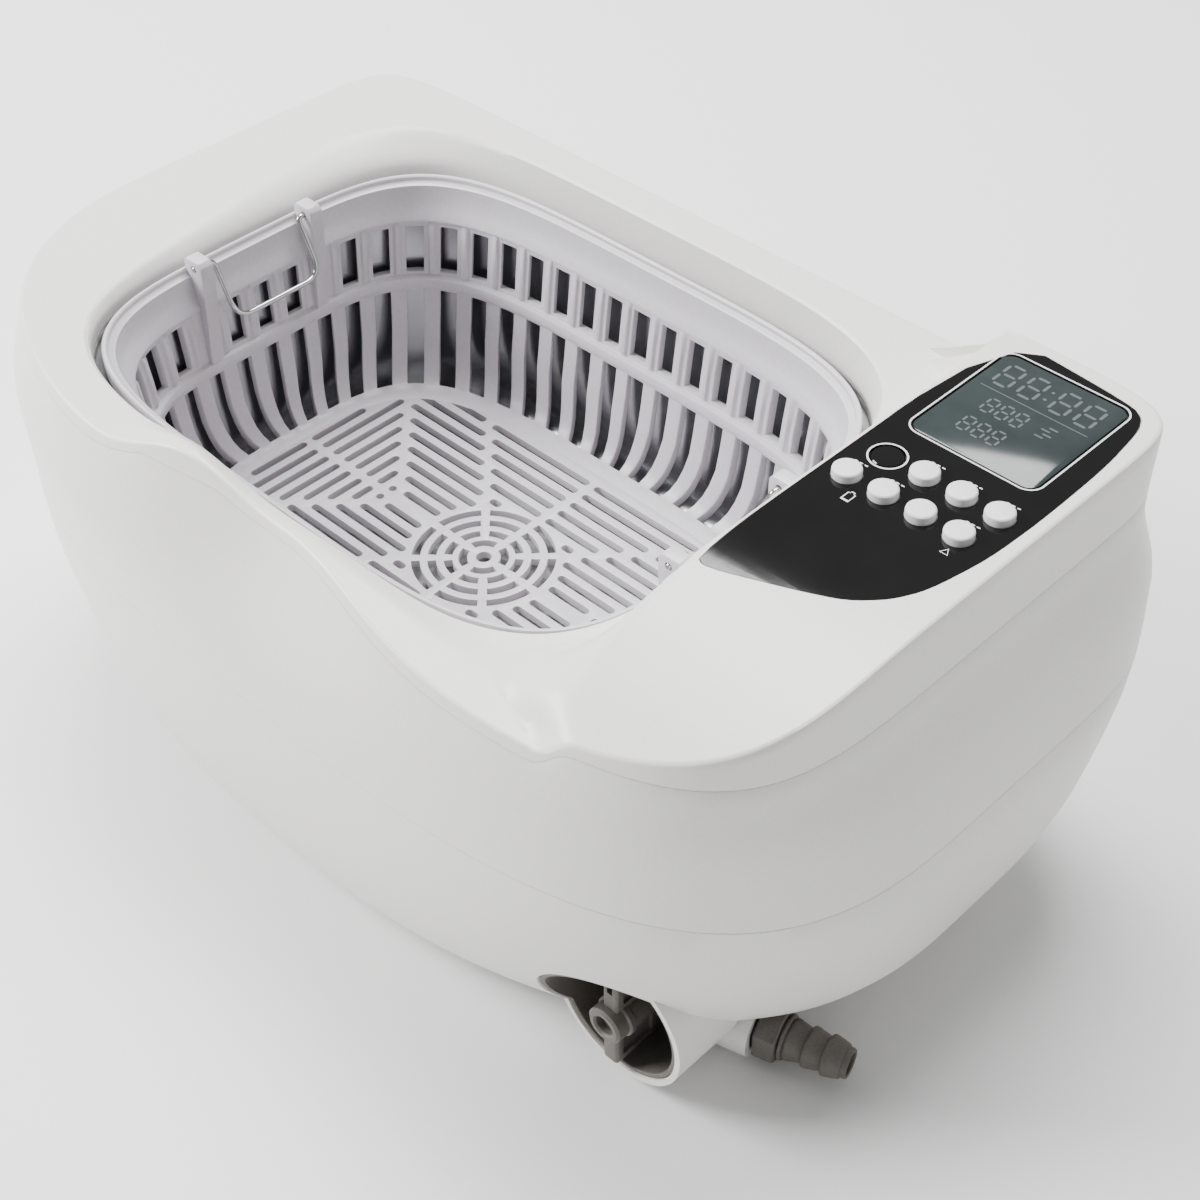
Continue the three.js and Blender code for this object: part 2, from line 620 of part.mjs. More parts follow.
function bail(side) {
  const drop = (depth, y) => [
    side * (EAR.holeX - depth * Math.sin(BAIL.lean)), y, EAR.holeZ - depth * Math.cos(BAIL.lean),
  ];
  const half = [
    drop(0, BAIL.end), drop(0, BAIL.legY + 3), drop(0.7, BAIL.legY + 0.7), drop(3, BAIL.legY),
    drop(BAIL.leg - BAIL.corner, BAIL.legY), drop(BAIL.leg - BAIL.corner * 0.3, BAIL.legY - BAIL.corner * 0.3),
    drop(BAIL.leg, BAIL.legY - BAIL.corner),
  ];
  const mirrored = half.map(([x, y, z]) => [x, -y, z]).reverse();
  return tubeAlong([...half, ...mirrored], BAIL.wire, 0, 30, 3);
}

// ---- Assembly ----

const cleaner = new THREE.Group();

function piece(name, solid, material) {
  const mesh = new THREE.Mesh(toGeometry(solid), material);
  mesh.name = name;
  cleaner.add(mesh);
}

piece('top_cover', topCover(), shellWhite);
piece('upper_housing', upperHousing(), shellWhite);
piece('lower_housing', lowerHousing(), shellWhite);
piece('base_plate', basePlate(), stainless);
FEET.forEach(([x, y], i) => piece(`foot_${i + 1}`, foot(x, y), rubberBlack));
SCREWS.forEach(([x, y], i) => piece(`base_screw_${i + 1}`, screw(x, y), darkIron));
piece('tank', tank(), stainless);
piece('tank_gasket', tankGasket(), siliconeGrey);
piece('heater_pad', heaterPad(), siliconeGrey);
piece('transducer_left', transducer(HORNS[0]), darkIron);
piece('transducer_right', transducer(HORNS[1]), darkIron);
piece('drain_elbow', drainElbow(), valveGrey);
piece('drain_hose', drainHose(), siliconeGrey);
piece('valve_body', valveBody(), valveGrey);
piece('valve_dish', valveDish(), valveGrey);
piece('valve_knob', valveKnob(), valveGrey);
piece('hose_nut', hoseNut(), valveGrey);
piece('hose_barb', hoseBarb(), valveGrey);
piece('main_board', mainBoard(), boardGreen);
piece('transformer', transformer(), darkIron);
piece('display_board', displayBoard(), boardGreen);
piece('lcd_module', lcdModule(), screenGrey);
piece('display_window', displayWindow(), screenGrey);
piece('panel_overlay', panelOverlay(), panelBlack);
piece('indicator_lens', indicatorLens(), panelBlack);
buttonPlaces.forEach(([x, y], i) => piece(`button_${i + 1}`, button(x, y), buttonWhite));
piece('inlet_socket', inletSocket(), rubberBlack);
piece('basket', basket(), basketLilac);
piece('handle_left', bail(-1), stainless);
piece('handle_right', bail(1), stainless);

// The origin is under the middle of the whole object
const bounds = new THREE.Box3().setFromObject(cleaner);
const centre = bounds.getCenter(new THREE.Vector3());
cleaner.position.set(-centre.x, -centre.y, -bounds.min.z);

export default cleaner;
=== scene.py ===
import math

import bmesh
import bpy
from mathutils import Matrix, Vector


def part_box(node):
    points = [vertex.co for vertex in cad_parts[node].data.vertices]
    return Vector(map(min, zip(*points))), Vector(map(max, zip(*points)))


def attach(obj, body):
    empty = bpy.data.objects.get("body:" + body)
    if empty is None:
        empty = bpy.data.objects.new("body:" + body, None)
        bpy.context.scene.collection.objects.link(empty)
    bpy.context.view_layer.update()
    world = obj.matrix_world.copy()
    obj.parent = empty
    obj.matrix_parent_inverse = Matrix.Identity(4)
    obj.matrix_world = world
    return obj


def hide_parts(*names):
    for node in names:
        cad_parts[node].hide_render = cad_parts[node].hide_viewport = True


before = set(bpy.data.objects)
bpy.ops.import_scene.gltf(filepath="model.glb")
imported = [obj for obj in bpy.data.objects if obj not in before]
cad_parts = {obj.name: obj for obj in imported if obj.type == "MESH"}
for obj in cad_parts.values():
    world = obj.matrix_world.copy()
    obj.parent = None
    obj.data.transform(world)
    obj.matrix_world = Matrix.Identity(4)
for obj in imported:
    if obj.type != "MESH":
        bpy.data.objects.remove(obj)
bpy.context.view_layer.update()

# ---------------------------------------------------------------------------------------------
# The view, the bench and the light.
# A long lens looks down on the front right corner. The bench is a plain pale board, and the
# light is three large soft panels, the brightest over the scooped front.
MM = 0.001
basket_low, basket_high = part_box("basket")
basket_middle = Vector(((basket_low.x + basket_high.x) / 2, (basket_low.y + basket_high.y) / 2, 0))
FLOOR_HEIGHT = 67 * MM
basket_floor = basket_middle + Vector((0, 0, FLOOR_HEIGHT))
LENS = 61.6
VIEW_DIRECTION = (-0.5176, 0.5261, -0.6748)
VIEW_ROLL = math.radians(-0.5)
CAMERA_OFFSET = (0.4091, -0.3579, 0.4746)


def linear(hex_colour, alpha=1.0):
    channels = [int(hex_colour[i:i + 2], 16) / 255 for i in (0, 2, 4)]
    return [c / 12.92 if c <= 0.04045 else ((c + 0.055) / 1.055) ** 2.4 for c in channels] + [alpha]


def node(tree, kind, links=(), settings=(), **values):
    added = tree.nodes.new(kind)
    for name, value in settings:
        setattr(added, name, value)
    for name, value in values.items():
        added.inputs[name.replace("_", " ")].default_value = value
    for source, target in links:
        tree.links.new(source, added.inputs[target])
    return added


def new_material(name):
    material = bpy.data.materials.new(name)
    material.use_nodes = True
    material.node_tree.nodes.clear()
    return material, material.node_tree


def place_camera():
    data = bpy.data.cameras.new("camera")
    camera = bpy.data.objects.new("camera", data)
    bpy.context.scene.collection.objects.link(camera)
    data.sensor_width = 36
    data.lens = LENS
    forward = Vector(VIEW_DIRECTION).normalized()
    level_right = forward.cross(Vector((0, 0, 1))).normalized()
    level_up = level_right.cross(forward)
    right = level_right * math.cos(VIEW_ROLL) + level_up * math.sin(VIEW_ROLL)
    up = level_up * math.cos(VIEW_ROLL) - level_right * math.sin(VIEW_ROLL)
    turn = Matrix((right, up, -forward)).transposed().to_4x4()
    camera.matrix_world = Matrix.Translation(basket_floor + Vector(CAMERA_OFFSET)) @ turn
    bpy.context.scene.camera = camera


def soft_panel(name, place, aim, size, power):
    data = bpy.data.lights.new(name, "AREA")
    data.shape = "RECTANGLE"
    data.size, data.size_y = size
    data.energy = power
    panel = bpy.data.objects.new(name, data)
    bpy.context.scene.collection.objects.link(panel)
    panel.location = place
    panel.rotation_euler = (Vector(aim) - Vector(place)).to_track_quat("-Z", "Y").to_euler()


def bench():
    bm = bmesh.new()
    bmesh.ops.create_grid(bm, x_segments=1, y_segments=1, size=6)
    mesh = bpy.data.meshes.new("bench")
    bm.to_mesh(mesh)
    bm.free()
    board = bpy.data.objects.new("bench", mesh)
    bpy.context.scene.collection.objects.link(board)
    material, tree = new_material("matt_white_board")
    shader = node(tree, "ShaderNodeBsdfPrincipled", Base_Color=linear("f4f4f4"), Roughness=0.85)
    node(tree, "ShaderNodeOutputMaterial", [(shader.outputs[0], "Surface")])
    mesh.materials.append(material)


place_camera()
bench()
soft_panel("front_left_panel", (-1.3, -0.9, 1.1), (0, 0, 0.08), (0.9, 0.8), 66)
soft_panel("overhead_panel", (-0.4, 0.5, 1.7), (0, 0, 0.1), (1.1, 0.9), 58)
soft_panel("right_panel", (1.5, 0.9, 0.5), (0.1, 0, 0.1), (0.6, 0.6), 2)
world = bpy.data.worlds.new("studio")
bpy.context.scene.world = world
world.use_nodes = True
world.node_tree.nodes["Background"].inputs["Color"].default_value = linear("ffffff")
world.node_tree.nodes["Background"].inputs["Strength"].default_value = 0.36

# ---------------------------------------------------------------------------------------------
# The underside: a steel base plate with four screws, on four rubber feet.
# The plate closes the opening through which the transducers and boards go in. The feet are
# turned rubber pads, glued into the corners.


def bumped(tree, shader, grit_mm, height_mm, detail=2.0):
    position = node(tree, "ShaderNodeTexCoord")
    noise = node(tree, "ShaderNodeTexNoise", [(position.outputs["Object"], "Vector")],
                 Scale=1 / (grit_mm * MM), Detail=detail)
    bump = node(tree, "ShaderNodeBump", [(noise.outputs[0], "Height")], Strength=1.0, Distance=height_mm * MM)
    tree.links.new(bump.outputs[0], shader.inputs["Normal"])
    return noise


def tinted(tree, shader, noise, dark, light):
    ramp = node(tree, "ShaderNodeValToRGB", [(noise.outputs[0], "Fac")])
    ramp.color_ramp.elements[0].position = 0.3
    ramp.color_ramp.elements[1].position = 0.7
    ramp.color_ramp.elements[0].color = linear(dark)
    ramp.color_ramp.elements[1].color = linear(light)
    tree.links.new(ramp.outputs[0], shader.inputs["Base Color"])


def rolled_stainless():
    # Cold-rolled stainless sheet: faint drawn lines about 0.4 mm apart that blur its highlights.
    material, tree = new_material("rolled_stainless")
    position = node(tree, "ShaderNodeTexCoord")
    stretch = node(tree, "ShaderNodeMapping", [(position.outputs["Object"], "Vector")], Scale=(0.06, 1, 1))
    grain = node(tree, "ShaderNodeTexNoise", [(stretch.outputs[0], "Vector")],
                 Scale=1 / (0.4 * MM), Detail=3.0)
    rough = node(tree, "ShaderNodeMapRange", [(grain.outputs[0], "Value")], To_Min=0.14, To_Max=0.3)
    bump = node(tree, "ShaderNodeBump", [(grain.outputs[0], "Height")], Strength=0.5, Distance=0.01 * MM)
    shader = node(tree, "ShaderNodeBsdfPrincipled",
                  [(rough.outputs[0], "Roughness"), (bump.outputs[0], "Normal")],
                  Base_Color=linear("a9aaac"), Metallic=1.0)
    node(tree, "ShaderNodeOutputMaterial", [(shader.outputs[0], "Surface")])
    return material


def plated_screw_steel():
    # Zinc-plated steel: bright, with a slightly cloudy plating.
    material, tree = new_material("zinc_plated_steel")
    shader = node(tree, "ShaderNodeBsdfPrincipled", Metallic=1.0, Roughness=0.32)
    tinted(tree, shader, bumped(tree, shader, 0.8, 0.01), "a4a6a8", "babcbe")
    node(tree, "ShaderNodeOutputMaterial", [(shader.outputs[0], "Surface")])
    return material


def moulded_rubber():
    # Black moulded rubber: matt, with a fine pebbled skin.
    material, tree = new_material("moulded_rubber")
    shader = node(tree, "ShaderNodeBsdfPrincipled", Roughness=0.82)
    tinted(tree, shader, bumped(tree, shader, 0.5, 0.05), "181818", "232323")
    node(tree, "ShaderNodeOutputMaterial", [(shader.outputs[0], "Surface")])
    return material


def dress(node_name, material):
    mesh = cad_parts[node_name].data
    mesh.materials.clear()
    mesh.materials.append(material)


stainless = rolled_stainless()
rubber = moulded_rubber()
screw_steel = plated_screw_steel()
dress("base_plate", stainless)


def shade(mesh, angle=30):
    for polygon in mesh.polygons:
        polygon.use_smooth = True
    sharp = math.radians(angle)
    bm = bmesh.new()
    bm.from_mesh(mesh)
    for edge in bm.edges:
        edge.smooth = len(edge.link_faces) == 2 and edge.calc_face_angle() < sharp
    bm.to_mesh(mesh)
    bm.free()


def piece(name, bm, material, body, stands_for=(), angle=30):
    """Turns a bmesh in millimetres from the basket's middle into a piece in its place."""
    bmesh.ops.transform(bm, matrix=Matrix.Translation(basket_middle) @ Matrix.Scale(MM, 4), verts=bm.verts)
    mesh = bpy.data.meshes.new(name)
    bm.to_mesh(mesh)
    bm.free()
    shade(mesh, angle)
    mesh.materials.append(material)
    made = bpy.data.objects.new(name, mesh)
    bpy.context.scene.collection.objects.link(made)
    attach(made, body)
    if stands_for:
        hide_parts(*stands_for)
    return made


def turned(profile, steps=48):
    """A solid of revolution about +Z through (radius, height) points that start and end on the axis."""
    bm = bmesh.new()
    points = [bm.verts.new((r, 0, z)) for r, z in profile]
    edges = [bm.edges.new(pair) for pair in zip(points, points[1:])]
    bmesh.ops.spin(bm, geom=points + edges, cent=(0, 0, 0), axis=(0, 0, 1), angle=math.tau, steps=steps,
                   use_merge=True)
    bmesh.ops.remove_doubles(bm, verts=bm.verts, dist=1e-4)
    bmesh.ops.recalc_face_normals(bm, faces=bm.faces)
    return bm


def rubber_foot(name):
    low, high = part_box(name)
    x, y = ((low + high) / 2 - basket_middle).xy / MM
    bm = turned([(0, 0.6), (5, 0.6), (5.4, 0.1), (6.4, 0), (8, 0.1),
                 (8.8, 0.7), (9, 1.6), (9, 2.7), (0, 2.7)])
    bmesh.ops.translate(bm, verts=bm.verts, vec=(x, y, 0))
    piece(f"{name}_pad", bm, rubber, "body", [name])


def cross_head_screw(name):
    low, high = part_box(name)
    x, y = ((low + high) / 2 - basket_middle).xy / MM
    bm = turned([(0, 0.3), (1.6, 0.35), (2.6, 0.6), (3.1, 1.0), (3.2, 1.3),
                 (1.5, 1.3), (1.5, 9.6), (0, 10.2)], 32)
    slot_faces = [f for f in bm.faces if f.calc_center_median().z < 0.34]
    bmesh.ops.inset_region(bm, faces=slot_faces, thickness=0.5)
    bmesh.ops.translate(bm, verts=bm.verts, vec=(x, y, 0))
    piece(f"{name}_head", bm, screw_steel, "body", [name])


for corner in range(1, 5):
    rubber_foot(f"foot_{corner}")
    cross_head_screw(f"base_screw_{corner}")

# ---------------------------------------------------------------------------------------------
# The lower housing: a white moulded tub that swells upwards from the base.
# Its outline is squarer at the back than at the front. A short drum for the drain valve and a
# neck for the hose outlet are moulded into its front right corner.
UNDERSIDE = 3
WALL = 2.6
SEAM_GAP = 0.14
LOWER_SEAM = 96
FRONT_LEFT, FRONT_RIGHT, BACK_RIGHT, BACK_LEFT = range(4)
# height: reach to the left, right, front and back, and how square each corner is
BODY = [
    (3, (150, 163, 99, 96), (2.6, 2.3, 3.2, 3.2)),
    (10, (157, 178, 105, 103), (2.6, 2.3, 3.2, 3.4)),
    (25, (165, 196, 110, 109), (2.6, 2.4, 3.6, 3.8)),
    (50, (173, 209, 115, 114), (2.6, 2.6, 4.4, 4.4)),
    (85, (178, 211, 118, 116), (2.6, 3, 6, 5)),
    (120, (176, 207, 118, 115), (2.6, 3.4, 8, 7)),
    (148, (169, 199, 110, 106.5), (2.6, 4.4, 11, 12)),
    (176, (161, 197, 104, 105), (2.6, 5, 15, 16)),
]


def smooth(value, start, end):
    t = min(1.0, max(0.0, (value - start) / (end - start)))
    return t * t * (3 - 2 * t)


def curve_through(heights, values, z):
    """A smooth curve through the rows, that keeps inside each pair of rows."""
    i = min(max(sum(1 for h in heights if h <= z) - 1, 0), len(heights) - 2)
    steps = [(values[k + 1] - values[k]) / (heights[k + 1] - heights[k]) for k in range(len(heights) - 1)]

    def slope(k):
        if k in (0, len(heights) - 1):
            return steps[0] if k == 0 else steps[-1]
        before, after = steps[k - 1], steps[k]
        return 0.0 if before * after <= 0 else 2 * before * after / (before + after)

    span = heights[i + 1] - heights[i]
    t = (z - heights[i]) / span
    return (values[i] * (1 + 2 * t) * (1 - t) ** 2 + slope(i) * span * t * (1 - t) ** 2
            + values[i + 1] * t * t * (3 - 2 * t) - slope(i + 1) * span * t * t * (1 - t))


def body_section(z):
    heights = [row[0] for row in BODY]
    reach = [curve_through(heights, [row[1][k] for row in BODY], z) for k in range(4)]
    power = [curve_through(heights, [row[2][k] for row in BODY], z) for k in range(4)]
    return reach, power


def outline_point(reach, power, angle):
    c, s = math.cos(angle), math.sin(angle)
    corner = (FRONT_LEFT if c < 0 else FRONT_RIGHT) if s < 0 else (BACK_LEFT if c < 0 else BACK_RIGHT)
    left, right, front, back = reach
    x = (right - left) / 2 + (right + left) / 2 * math.copysign(abs(c) ** (2 / power[corner]), c)
    y = (back - front) / 2 + (back + front) / 2 * math.copysign(abs(s) ** (2 / power[corner]), s)
    return x, y


# The front leans in at the scoop, and the left end is turned a little towards the front.
SCOOP_X, SCOOP_REACH, SCOOP_DEPTH = 15, 48, 12
LEFT_TURN = 0.07


def body_point(angle, z, inset=0.0):
    reach, power = body_section(z)
    x, y = outline_point([r - inset for r in reach], power, angle)
    lean = SCOOP_DEPTH * math.exp(-((x - SCOOP_X) / SCOOP_REACH) ** 2)
    scoop = lean * smooth(z, 100, 148) * smooth(-y, 40, 70)
    end_turn = LEFT_TURN * y * smooth(-x, 0, 150) * smooth(z, 90, 150)
    return x + end_turn, y + scoop


MIDDLE_REACH = (180, 200, 112, 112)
MIDDLE_POWER = (3.2,) * 4


def angles(steps):
    """Angles at which an outline's points are about evenly spaced."""
    fine = 4000
    points = [outline_point(MIDDLE_REACH, MIDDLE_POWER, k / fine * math.tau) for k in range(fine + 1)]
    travelled = [0.0]
    for a, b in zip(points, points[1:]):
        travelled.append(travelled[-1] + math.dist(a, b))
    found, k = [], 0
    for step in range(steps):
        target = travelled[-1] * step / steps
        while travelled[k + 1] < target:
            k += 1
        part = (target - travelled[k]) / (travelled[k + 1] - travelled[k])
        found.append((k + part) / fine * math.tau)
    return found


def rings(columns, closed=True, caps=()):
    """Joins columns of points, one column for each step round the object, with a skin of quads."""
    bm = bmesh.new()
    grid = [[bm.verts.new(p) for p in column] for column in columns]
    rows = len(grid[0])
    for k, column in enumerate(grid):
        following = grid[(k + 1) % len(grid)]
        for i in range(rows if closed else rows - 1):
            j = (i + 1) % rows
            bm.faces.new((column[i], following[i], following[j], column[j]))
    for row in caps:
        bm.faces.new([column[row] for column in grid])
    bmesh.ops.recalc_face_normals(bm, faces=bm.faces)
    return bm


def as_object(bm, name):
    mesh = bpy.data.meshes.new(name)
    bm.to_mesh(mesh)
    bm.free()
    made = bpy.data.objects.new(name, mesh)
    bpy.context.scene.collection.objects.link(made)
    return made


def carved(bm, steps):
    """Adds and cuts away solids in turn, and gives the result back as a bmesh."""
    base = as_object(bm, "blank")
    for operation, tool in steps:
        cutter = as_object(tool, "tool")
        change = base.modifiers.new("change", "BOOLEAN")
        change.object = cutter
        change.operation = operation
        change.solver = "EXACT"
        bpy.context.view_layer.update()
        done = bpy.data.meshes.new_from_object(base.evaluated_get(bpy.context.evaluated_depsgraph_get()))
        base.modifiers.clear()
        base.data = done
        bpy.data.objects.remove(cutter)
    result = bmesh.new()
    result.from_mesh(base.data)
    bpy.data.objects.remove(base)
    bmesh.ops.remove_doubles(result, verts=result.verts, dist=1e-4)
    bmesh.ops.recalc_face_normals(result, faces=result.faces)
    return result


def bar(radius, start, end, sides=64):
    """A round bar between two points."""
    start, end = Vector(start), Vector(end)
    bm = bmesh.new()
    bmesh.ops.create_cone(bm, cap_ends=True, segments=sides, radius1=radius,
                          radius2=radius, depth=(end - start).length)
    turn = (end - start).to_track_quat("Z", "Y").to_matrix().to_4x4()
    bmesh.ops.transform(bm, matrix=Matrix.Translation((start + end) / 2) @ turn, verts=bm.verts)
    return bm


def block(low, high):
    bm = bmesh.new()
    bmesh.ops.create_cube(bm, size=1)
    bmesh.ops.scale(bm, vec=[h - l for l, h in zip(low, high)], verts=bm.verts)
    bmesh.ops.translate(bm, vec=[(h + l) / 2 for l, h in zip(low, high)], verts=bm.verts)
    return bm


def moulded_abs():
    # Injection-moulded white ABS: softly glossy, with a fine orange-peel skin that blurs reflections.
    material, tree = new_material("moulded_white_abs")
    shader = node(tree, "ShaderNodeBsdfPrincipled", Roughness=0.36, IOR=1.53, Subsurface_Weight=0.06)
    shader.inputs["Subsurface Scale"].default_value = 2 * MM
    tinted(tree, shader, bumped(tree, shader, 1.1, 0.012), "e5e3e0", "e9e7e4")
    node(tree, "ShaderNodeOutputMaterial", [(shader.outputs[0], "Surface")])
    return material


VALVE_X, VALVE_Z = 149, 28
MOUTH, VALVE_FLOOR, VALVE_BORE = -88, -64, 24
DRAIN_TURN = math.radians(16)
abs_white = moulded_abs()
round_steps = angles(288)


def drain_point(along):
    return Vector((176 + along * math.cos(DRAIN_TURN), -50.5 + along * math.sin(DRAIN_TURN), 11))


def along_y(radius, start, end, sides=96):
    return bar(radius, (VALVE_X, start, VALVE_Z), (VALVE_X, end, VALVE_Z), sides)


def lower_shell():
    heights = [UNDERSIDE, 3.6, 5, 8, 12, 17, 25, 34, 43, 52, 62, 73, 84, 95.6, LOWER_SEAM - SEAM_GAP]
    edge_insets = [1.2, 0.35] + [0] * 12 + [0.12]
    inside = [h for h in heights[2:] if h > UNDERSIDE + WALL + 1]
    columns = []
    for angle in round_steps:
        outer = [(*body_point(angle, z, inset), z) for z, inset in zip(heights, edge_insets)]
        inner = [(*body_point(angle, z, WALL), z) for z in reversed(inside)]
        inner.append((*body_point(angle, UNDERSIDE + WALL, WALL + 1), UNDERSIDE + WALL))
        columns.append(outer + inner)
    return rings(columns, closed=False, caps=(0, len(columns[0]) - 1))


def screw_hole(x, y):
    return bar(1.9, (x, y, -1), (x, y, 11), 24)


lower_steps = [
    ("UNION", along_y(VALVE_BORE + 2, MOUTH, VALVE_FLOOR + 3)),
    ("UNION", bar(10.6, drain_point(-22), drain_point(-0.4))),
    ("DIFFERENCE", along_y(VALVE_BORE, -140, VALVE_FLOOR)),
    ("DIFFERENCE", bar(6, (149, -50, 15), drain_point(-10), 32)),
    ("DIFFERENCE", along_y(10.4, VALVE_FLOOR - 1, -20, 48)),
    ("DIFFERENCE", bar(13, drain_point(-1), drain_point(40))),
    ("DIFFERENCE", bar(7.3, drain_point(-13), drain_point(40))),
    ("DIFFERENCE", block((-77, -40, -5), (93, 40, 8))),
    ("DIFFERENCE", block((106.2, 80, 51.7), (133.8, 140, 72.3))),
]
lower_steps += [("DIFFERENCE", screw_hole(x, y)) for x in (-92, 108) for y in (-46, 46)]
piece("lower_housing_shell", carved(lower_shell(), lower_steps), abs_white,
      "body", ["lower_housing"])

# ---------------------------------------------------------------------------------------------
# The upper housing: a plain white band that sits on the tub and carries the top cover.
# Its top edge follows the cover, low at the scooped front and high at the back.
DECK = 175
DECK_EDGE = 133
TOP_SEAM = 152.5


def top_height(x, y):
    """The height of the cover's top surface: rim, front lip and control deck."""
    rim = 154 + 0.05 * y
    crest = 10.5 * math.exp(-((x + 22) / 24) ** 2) + 5.2 * math.exp(-((x - 45) / 38) ** 2)
    low = rim + crest * smooth(-y, 84, 97)
    deck = DECK - 0.0028 * max(0, -20 - y) ** 2
    outward = smooth(-y, 92, 107)
    ramp_start = DECK_EDGE - 8 - 20 * smooth(-y, 55, 88) + 32 * outward
    ramp_end = DECK_EDGE + 5 * smooth(-y, 55, 90) + 12 * outward
    return low + (deck - low) * smooth(x, ramp_start, ramp_end)


def edge_height(angle, inset=0.0):
    z = 160.0
    for _ in range(24):
        z = (z + top_height(*body_point(angle, z, inset))) / 2
    return z


edge_heights = [edge_height(angle) for angle in round_steps]
seam_heights = [min(TOP_SEAM, z - 4) for z in edge_heights]


def upper_shell():
    columns = []
    for angle, seam in zip(round_steps, seam_heights):
        top = seam - SEAM_GAP
        rise = [LOWER_SEAM + 0.2 + (top - 0.4 - LOWER_SEAM) * k / 9 for k in range(10)]
        outer = [(*body_point(angle, LOWER_SEAM, 0.12), LOWER_SEAM)]
        outer += [(*body_point(angle, z), z) for z in rise]
        outer.append((*body_point(angle, top, 0.1), top))
        inner = [(*body_point(angle, z, WALL), z) for z in (top, *reversed(rise[1:-1]), LOWER_SEAM)]
        columns.append(outer + inner)
    return rings(columns)


piece("upper_housing_shell", upper_shell(), abs_white, "body", ["upper_housing"])

# ---------------------------------------------------------------------------------------------
# The top cover: one white moulding with a flared opening over the tank, a front lip that is
# scooped for lifting the basket, and a raised control deck at the right.
RIM = 147
WELL_FOOT = 143.2


def well_point(angle, z, outset=0.0):
    heights = (130, RIM, 162, 182)
    reach = [curve_through(heights, row, z) + outset for row in (
        (120.6, 120.6, 143, 160), (120.6, 120.6, 125, 130), (90.6, 90.6, 92, 94), (90.6, 90.6, 93, 96))]
    return outline_point(reach, (4.2,) * 4, angle)


def well_top(angle, outset=0.0):
    z = 155.0
    for _ in range(30):
        z = (z + top_height(*well_point(angle, z, outset))) / 2
    return z


def cover_shell():
    across = [0, 0.006, 0.02] + [0.02 + 0.96 * k / 46 for k in range(1, 47)] + [0.994, 1]
    columns = []
    for angle, edge, seam in zip(round_steps, edge_heights, seam_heights):
        rise = [seam + 0.15 + (edge - 1.0 - seam - 0.15) * k / 5 for k in range(6)]
        outer = [(*body_point(angle, seam, 0.1), seam)] + [(*body_point(angle, z), z) for z in rise]
        outer.append((*body_point(angle, edge, 0.25), edge - 0.35))
        mouth = well_top(angle)
        start, end = Vector(body_point(angle, edge, 0.9)), Vector(well_point(angle, mouth, 0.7))
        top = []
        for t in across:
            x, y = start.lerp(end, t)
            top.append((x, y, top_height(x, y)))
        drop = [mouth - 0.8 + (WELL_FOOT - mouth + 0.8) * k / 9 for k in range(10)]
        well = [(*well_point(angle, z), z) for z in drop]
        back = [(*well_point(angle, z, 2.2), z) for z in (WELL_FOOT, *reversed(drop[1:-1]))]
        back.append((*well_point(angle, drop[0], 2.2), drop[0] - WALL))
        under = []
        for t in (0.92, 0.75, 0.5, 0.25, 0.1):
            x, y = Vector(body_point(angle, edge, WALL + 1)).lerp(Vector(well_point(angle, mouth, 2.4)), t)
            under.append((x, y, top_height(x, y) - WALL))
        inner = [(*body_point(angle, z, WALL), z) for z in (min(edge - WALL - 0.3, rise[-2]), seam)]
        columns.append(outer + top + well + back + under + inner)
    return rings(columns)


def rounded_outline(centre, size, corner, steps=8):
    points = []
    for k, (sx, sy) in enumerate(((1, 1), (-1, 1), (-1, -1), (1, -1))):
        middle = (centre[0] + sx * (size[0] / 2 - corner), centre[1] + sy * (size[1] / 2 - corner))
        for i in range(steps + 1):
            a = (k + i / steps) * math.pi / 2
            points.append((middle[0] + corner * math.cos(a), middle[1] + corner * math.sin(a)))
    return points


def prism(points, bottom, top):
    """An upright solid on an outline. Its ends are heights, or functions of x and y."""
    def at(level, x, y):
        return level(x, y) if callable(level) else level
    bm = bmesh.new()
    face = bm.faces.new([bm.verts.new((x, y, at(bottom, x, y))) for x, y in points])
    raised = bmesh.ops.extrude_face_region(bm, geom=[face])["geom"]
    for vert in (v for v in raised if isinstance(v, bmesh.types.BMVert)):
        vert.co.z = at(top, vert.co.x, vert.co.y)
    bmesh.ops.recalc_face_normals(bm, faces=bm.faces)
    return bm


def softened(points, rounds=3):
    """Rounds an outline off by cutting its corners."""
    for _ in range(rounds):
        cut = []
        for a, b in zip(points, points[1:] + points[:1]):
            cut += [(a[0] * 0.8 + b[0] * 0.2, a[1] * 0.8 + b[1] * 0.2),
                    (a[0] * 0.2 + b[0] * 0.8, a[1] * 0.2 + b[1] * 0.8)]
        points = cut
    return points


OVERLAY_CORNERS = [
    (133.6, 101.5), (182, 97), (187.5, 93.5), (190, 88), (192.5, 67), (193, 35), (192, 12),
    (188, -9), (183, -19), (175, -27), (162, -33), (138, -42), (133.6, -40),
]
overlay_outline = softened(OVERLAY_CORNERS, 2)
overlay_middle = (162, 30)
BUTTONS = [(141.4, 14.3), (154.5, 14.3), (167.6, 14.3), (180.7, 14.3), (158, 28.6), (171, 28.6), (184, 28.6)]
LAMP = (144.8, 28.6)
SCREEN, SCREEN_SIZE = (162, 69), (44, 50)


def grown(points, by):
    share = [1 + by / 30, 1 + by / 70]
    return [(overlay_middle[0] + (x - overlay_middle[0]) * share[0],
             overlay_middle[1] + (y - overlay_middle[1]) * share[1]) for x, y in points]


